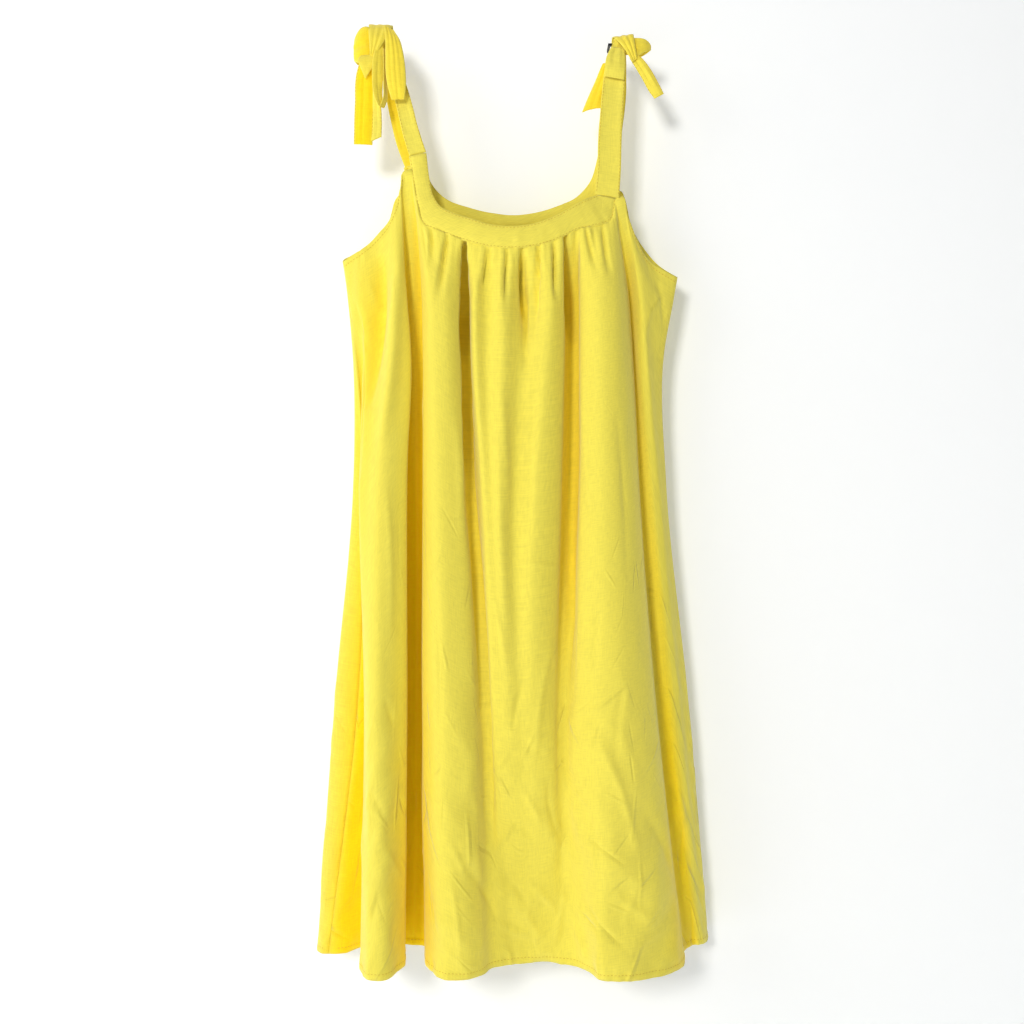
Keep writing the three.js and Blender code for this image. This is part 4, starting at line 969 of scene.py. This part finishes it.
# %% Material helpers
def linear(hex_colour):
    """sRGB hex to linear colour: v / 12.92 below 0.04045, else ((v + 0.055) / 1.055) to the power 2.4."""
    values = [int(hex_colour[i:i + 2], 16) / 255 for i in (1, 3, 5)]
    return tuple(v / 12.92 if v <= 0.04045 else ((v + 0.055) / 1.055) ** 2.4 for v in values) + (1.0,)


def add(tree, kind, values=None, links=None, **settings):
    """Adds a node: its own settings, constants on its sockets, and links into its sockets."""
    node = tree.nodes.new(kind)
    for key, value in settings.items():
        setattr(node, key, value)
    for socket, value in (values or {}).items():
        node.inputs[socket].default_value = value
    for socket, source in (links or {}).items():
        tree.links.new(source, node.inputs[socket])
    return node


def new_material(name):
    """An empty node material."""
    material = bpy.data.materials.new(name)
    material.use_nodes = True
    material.node_tree.nodes.clear()
    return material, material.node_tree


print("yellow in linear light:", [round(v, 3) for v in linear("#F8E23C")[:3]])

# %% [markdown]
# ## Yellow cotton poplin
# Poplin is a close plain weave, matt with a faint fuzz. Real threads are too fine for this picture, so the
# weave is drawn as slubs 1.4 mm wide and 14 mm long that run both ways on the cloth's own map. Fine sharp
# creases are short straight ridges in two sizes, strongest near the hem. In a deep fold the light has
# passed through and between layers of cloth and comes out as gold. That light is painted: a deeper colour
# and a faint painted glow, which isn't sampled as a lamp, stand in for it. Two values kept on the mesh
# steer
# this: a mask of how deep a place lies, for the painted light, and creased, how many creases it has.

# %% Cotton poplin
SLUB_WIDTH = 0.0014
SLUB_LENGTH = 0.014
# strength of the painted glow in deep folds
PAINTED_GLOW = 0.055
# columns: width of a cell, half width of a line as a share of it, greatest height
CREASE_LAYERS = [(0.085, 0.05, 0.0022), (0.045, 0.065, 0.0015)]


def straight_creases(tree, place, size, half_width, deep, number):
    """Creases such as packing leaves: the cloth is parted into cells, and each cell holds one straight
    line with its own slant, up or down by its own share, that rises to a sharp ridge and fades towards
    its ends. Sizes are the width of a cell in metres, the half width of a line as a share of it, and the
    greatest height in metres."""
    scaled = add(tree, "ShaderNodeMapping",
                 {"Location": (3.7 * number, 1.9 * number, 0.0), "Scale": (1 / size, 1 / size, 1.0)},
                 {"Vector": place}).outputs["Vector"]
    cells = add(tree, "ShaderNodeTexVoronoi", {"Scale": 1.0}, {"Vector": scaled}, voronoi_dimensions="2D")
    local = add(tree, "ShaderNodeVectorMath", None, {0: scaled, 1: cells.outputs["Position"]},
                operation="SUBTRACT").outputs["Vector"]
    own = add(tree, "ShaderNodeSeparateColor", None, {"Color": cells.outputs["Color"]}).outputs
    slant = add(tree, "ShaderNodeMapRange", {"To Min": -1.15, "To Max": 1.15},
                {"Value": own["Red"]}).outputs["Result"]
    line = add(tree, "ShaderNodeVectorRotate", None, {"Vector": local, "Angle": slant},
               rotation_type="Z_AXIS").outputs["Vector"]
    line = add(tree, "ShaderNodeVectorMath", None, {0: line}, operation="ABSOLUTE").outputs["Vector"]
    away = add(tree, "ShaderNodeSeparateXYZ", None, {"Vector": line}).outputs
    across = add(tree, "ShaderNodeMapRange", {"From Min": half_width, "From Max": 0.0},
                 {"Value": away["X"]}).outputs["Result"]
    along = add(tree, "ShaderNodeMapRange", {"From Min": 0.5, "From Max": 0.1}, {"Value": away["Y"]},
                interpolation_type="SMOOTHSTEP").outputs["Result"]
    rise = add(tree, "ShaderNodeMapRange", {"To Min": -deep, "To Max": deep},
               {"Value": own["Green"]}).outputs["Result"]
    shape = add(tree, "ShaderNodeMath", None, {0: across, 1: along}, operation="MULTIPLY").outputs["Value"]
    return add(tree, "ShaderNodeMath", None, {0: shape, 1: rise}, operation="MULTIPLY").outputs["Value"]


def cotton(name, colour, painted_fold_colour, creased):
    """Cloth: crossed slubs tint it and raise it a little, two layers of straight ridges are its creases,
    and the mesh's mask of deep places blends the open colour into a painted deeper gold and gives it a
    faint painted glow, which stand in for light passed through and between folds."""
    material, tree = new_material(name)
    cloth_map = add(tree, "ShaderNodeUVMap", uv_map="cloth").outputs["UV"]
    here = add(tree, "ShaderNodeTexCoord").outputs["Object"]
    slubs = []
    for scale in ((1 / SLUB_WIDTH, 1 / SLUB_LENGTH, 1), (1 / SLUB_LENGTH, 1 / SLUB_WIDTH, 1)):
        place = add(tree, "ShaderNodeMapping", {"Scale": scale}, {"Vector": cloth_map}).outputs["Vector"]
        slubs.append(add(tree, "ShaderNodeTexNoise", {"Scale": 1.0, "Detail": 1.0, "Roughness": 0.6},
                         {"Vector": place}).outputs["Fac"])
    weave = add(tree, "ShaderNodeMath", None, {0: slubs[0], 1: slubs[1]}, operation="ADD").outputs["Value"]
    shade = add(tree, "ShaderNodeMapRange",
                {"From Min": 0.6, "From Max": 1.4, "To Min": 0.9, "To Max": 1.06},
                {"Value": weave}).outputs["Result"]
    painted_fold_light = add(tree, "ShaderNodeAttribute", attribute_name="painted_fold_light").outputs["Fac"]
    # painted light: the mask of deep places blends the cloth colour into a deeper gold
    painted_tone = add(tree, "ShaderNodeMix", {6: linear(colour), 7: linear(painted_fold_colour)}, {0: painted_fold_light},
               data_type="RGBA").outputs[2]
    base = add(tree, "ShaderNodeMix", {0: 1.0}, {6: painted_tone, 7: shade}, data_type="RGBA",
               blend_type="MULTIPLY").outputs[2]
    height = None
    for number, (size, half_width, deep) in enumerate(CREASE_LAYERS):
        layer = straight_creases(tree, cloth_map, size, half_width, deep, number)
        if height is None:
            height = layer
        else:
            height = add(tree, "ShaderNodeMath", None, {0: height, 1: layer},
                         operation="ADD").outputs["Value"]
    patch = add(tree, "ShaderNodeAttribute", attribute_name="creased").outputs["Fac"]
    height = add(tree, "ShaderNodeMath", None, {0: height, 1: patch}, operation="MULTIPLY").outputs["Value"]
    soft = add(tree, "ShaderNodeTexNoise", {"Scale": 36.0, "Detail": 1.0}, {"Vector": here}).outputs["Fac"]
    wrinkled = add(tree, "ShaderNodeBump", {"Strength": 0.15, "Distance": 0.004},
                   {"Height": soft}).outputs["Normal"]
    folded = add(tree, "ShaderNodeBump", {"Strength": creased, "Distance": 1.0},
                 {"Height": height, "Normal": wrinkled}).outputs["Normal"]
    woven = add(tree, "ShaderNodeBump", {"Strength": 0.35, "Distance": 0.0002},
                {"Height": weave, "Normal": folded}).outputs["Normal"]
    # painted glow: deep folds shine faintly in the gold, standing in for light passed through the cloth
    painted_glow = add(tree, "ShaderNodeMath", {1: PAINTED_GLOW}, {0: painted_fold_light}, operation="MULTIPLY").outputs["Value"]
    material.cycles.emission_sampling = "NONE"
    finish = {"Emission Color": linear(painted_fold_colour), "Roughness": 0.88, "Specular IOR Level": 0.25,
              "Sheen Weight": 0.35, "Sheen Roughness": 0.5, "Sheen Tint": (1.0, 1.0, 0.85, 1.0)}
    surface = add(tree, "ShaderNodeBsdfPrincipled", finish,
                  {"Base Color": base, "Normal": woven, "Emission Strength": painted_glow})
    add(tree, "ShaderNodeOutputMaterial", None, {"Surface": surface.outputs["BSDF"]})
    return material


# the second hex of each is the painted gold of deep folds and of their faint painted glow
poplin = cotton("yellow cotton poplin", "#F6E658", "#FFDC00", 1.0)
band_poplin = cotton("folded yellow cotton poplin", "#F6E65A", "#FFDC00", 0.35)
thread = cotton("yellow cotton sewing thread", "#DDB828", "#D9A800", 0.0)
for obj in panels.values():
    obj.data.materials.append(poplin)
for obj in [*bands.values(), *ribbons.values()]:
    obj.data.materials.append(band_poplin)
for obj, _ in stitches:
    obj.data.materials.append(thread)
print("materials on", len(panels) + len(bands) + len(ribbons), "pieces of cloth")

# %% [markdown]
# ## The hooks
# The hook plates and wires keep the shapes of the fixed frame: a small plate on the wall and a bent wire.
# They only get better finishes, white enamel with faint unevenness and blackened steel with a soft gleam.

# %% Hook finishes
def painted(name, colour, roughness, metallic, grain):
    """A painted or oxidised metal: its roughness varies with a fine noise in real size."""
    material, tree = new_material(name)
    here = add(tree, "ShaderNodeTexCoord").outputs["Object"]
    noise = add(tree, "ShaderNodeTexNoise", {"Scale": grain, "Detail": 3.0},
                {"Vector": here}).outputs["Fac"]
    rough = add(tree, "ShaderNodeMapRange", {"To Min": roughness - 0.1, "To Max": roughness + 0.1},
                {"Value": noise}).outputs["Result"]
    bump = add(tree, "ShaderNodeBump", {"Strength": 0.15, "Distance": 0.0003},
               {"Height": noise}).outputs["Normal"]
    surface = add(tree, "ShaderNodeBsdfPrincipled", {"Base Color": linear(colour), "Metallic": metallic},
                  {"Roughness": rough, "Normal": bump})
    add(tree, "ShaderNodeOutputMaterial", None, {"Surface": surface.outputs["BSDF"]})
    return material


enamel = painted("white enamel", "#F1EFE9", 0.5, 0.0, 400.0)
black_steel = painted("blackened steel wire", "#2B2B2D", 0.4, 0.6, 600.0)
for side in ("left", "right"):
    for node, finish in ((f"hook_plate_{side}", enamel), (f"hook_wire_{side}", black_steel)):
        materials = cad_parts[node].data.materials
        materials.clear()
        materials.append(finish)
print("hooks finished")

# %% [markdown]
# ## What each piece stands for
# Every piece of cloth replaces the thick stand-in of the fixed frame of the same name: it and its rows of
# stitches are attached to the root body, and the stand-in is hidden.


all_cloth = {**panels, **bands, **ribbons}
rows_of = {}
for obj, name in stitches:
    rows_of.setdefault(name, []).append(obj)
for name, obj in all_cloth.items():
    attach(obj, "root")
    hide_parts(name)
    for row in rows_of.get(name, []):
        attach(row, "root")
    grid = cloth_grids[name]
print("cuts stated for", len(all_cloth), "pieces")

# %% [markdown]
# ## Backdrop and light
# The wall behind is pale and seen only from its front, and a pale floor lies below the picture. A soft
# light from the upper left throws the shadow to the right, a broad one like a window shapes the folds,
# and the surroundings fill the rest.

# %% Stage
def plane(name, corners, material):
    """A flat four-cornered sheet of the stage."""
    obj = mesh_object(name, np.array(corners, float), np.array([[0, 1, 2, 3]]))
    obj.data.materials.append(material)
    return obj


def backdrop_paint(name, colour):
    """Matt paint, lit a little from within like a studio paper, and clear from behind so that it never
    hides the dress."""
    material, tree = new_material(name)
    behind = add(tree, "ShaderNodeNewGeometry").outputs["Backfacing"]
    finish = {"Base Color": linear(colour), "Roughness": 0.95, "Specular IOR Level": 0.1,
              "Emission Color": (0.88, 0.94, 1.0, 1.0), "Emission Strength": 0.19}
    paint = add(tree, "ShaderNodeBsdfPrincipled", finish).outputs["BSDF"]
    clear = add(tree, "ShaderNodeBsdfTransparent").outputs["BSDF"]
    both = add(tree, "ShaderNodeMixShader", None, {0: behind, 1: paint, 2: clear}).outputs["Shader"]
    add(tree, "ShaderNodeOutputMaterial", None, {"Surface": both})
    return material


white = backdrop_paint("white matt wall paint", "#FBFBFA")
plane("wall", [(-3, 0.004, -1.42), (3, 0.004, -1.42), (3, 0.004, 2.2), (-3, 0.004, 2.2)], white)
plane("floor", [(-3, -3.6, -1.42), (3, -3.6, -1.42), (3, 0.004, -1.42), (-3, 0.004, -1.42)], white)


def area_light(name, place, target, size, power, colour):
    """A square soft light that looks at its target."""
    light = bpy.data.lights.new(name, "AREA")
    light.size, light.energy, light.color = size, power, colour
    obj = bpy.data.objects.new(name, light)
    bpy.context.scene.collection.objects.link(obj)
    way = np.array(target, float) - np.array(place, float)
    across = math.hypot(way[0], way[1])
    obj.location = place
    obj.rotation_euler = (math.atan2(across, -way[2]), 0, math.atan2(-way[0], way[1]))
    return obj


area_light("key", (-1.0, -3.1, 0.32), (0.0, -0.05, -0.6), 0.6, 50.0, (1.0, 0.985, 0.96))
area_light("window", (-2.9, -1.7, 0.5), (0.0, -0.05, -0.6), 2.2, 33.0, (1.0, 0.99, 0.98))
world = bpy.data.worlds.new("soft room")
world.use_nodes = True
world.node_tree.nodes["Background"].inputs["Color"].default_value = (0.93, 0.96, 1.0, 1.0)
world.node_tree.nodes["Background"].inputs["Strength"].default_value = 0.17
bpy.context.scene.world = world
print("stage set")
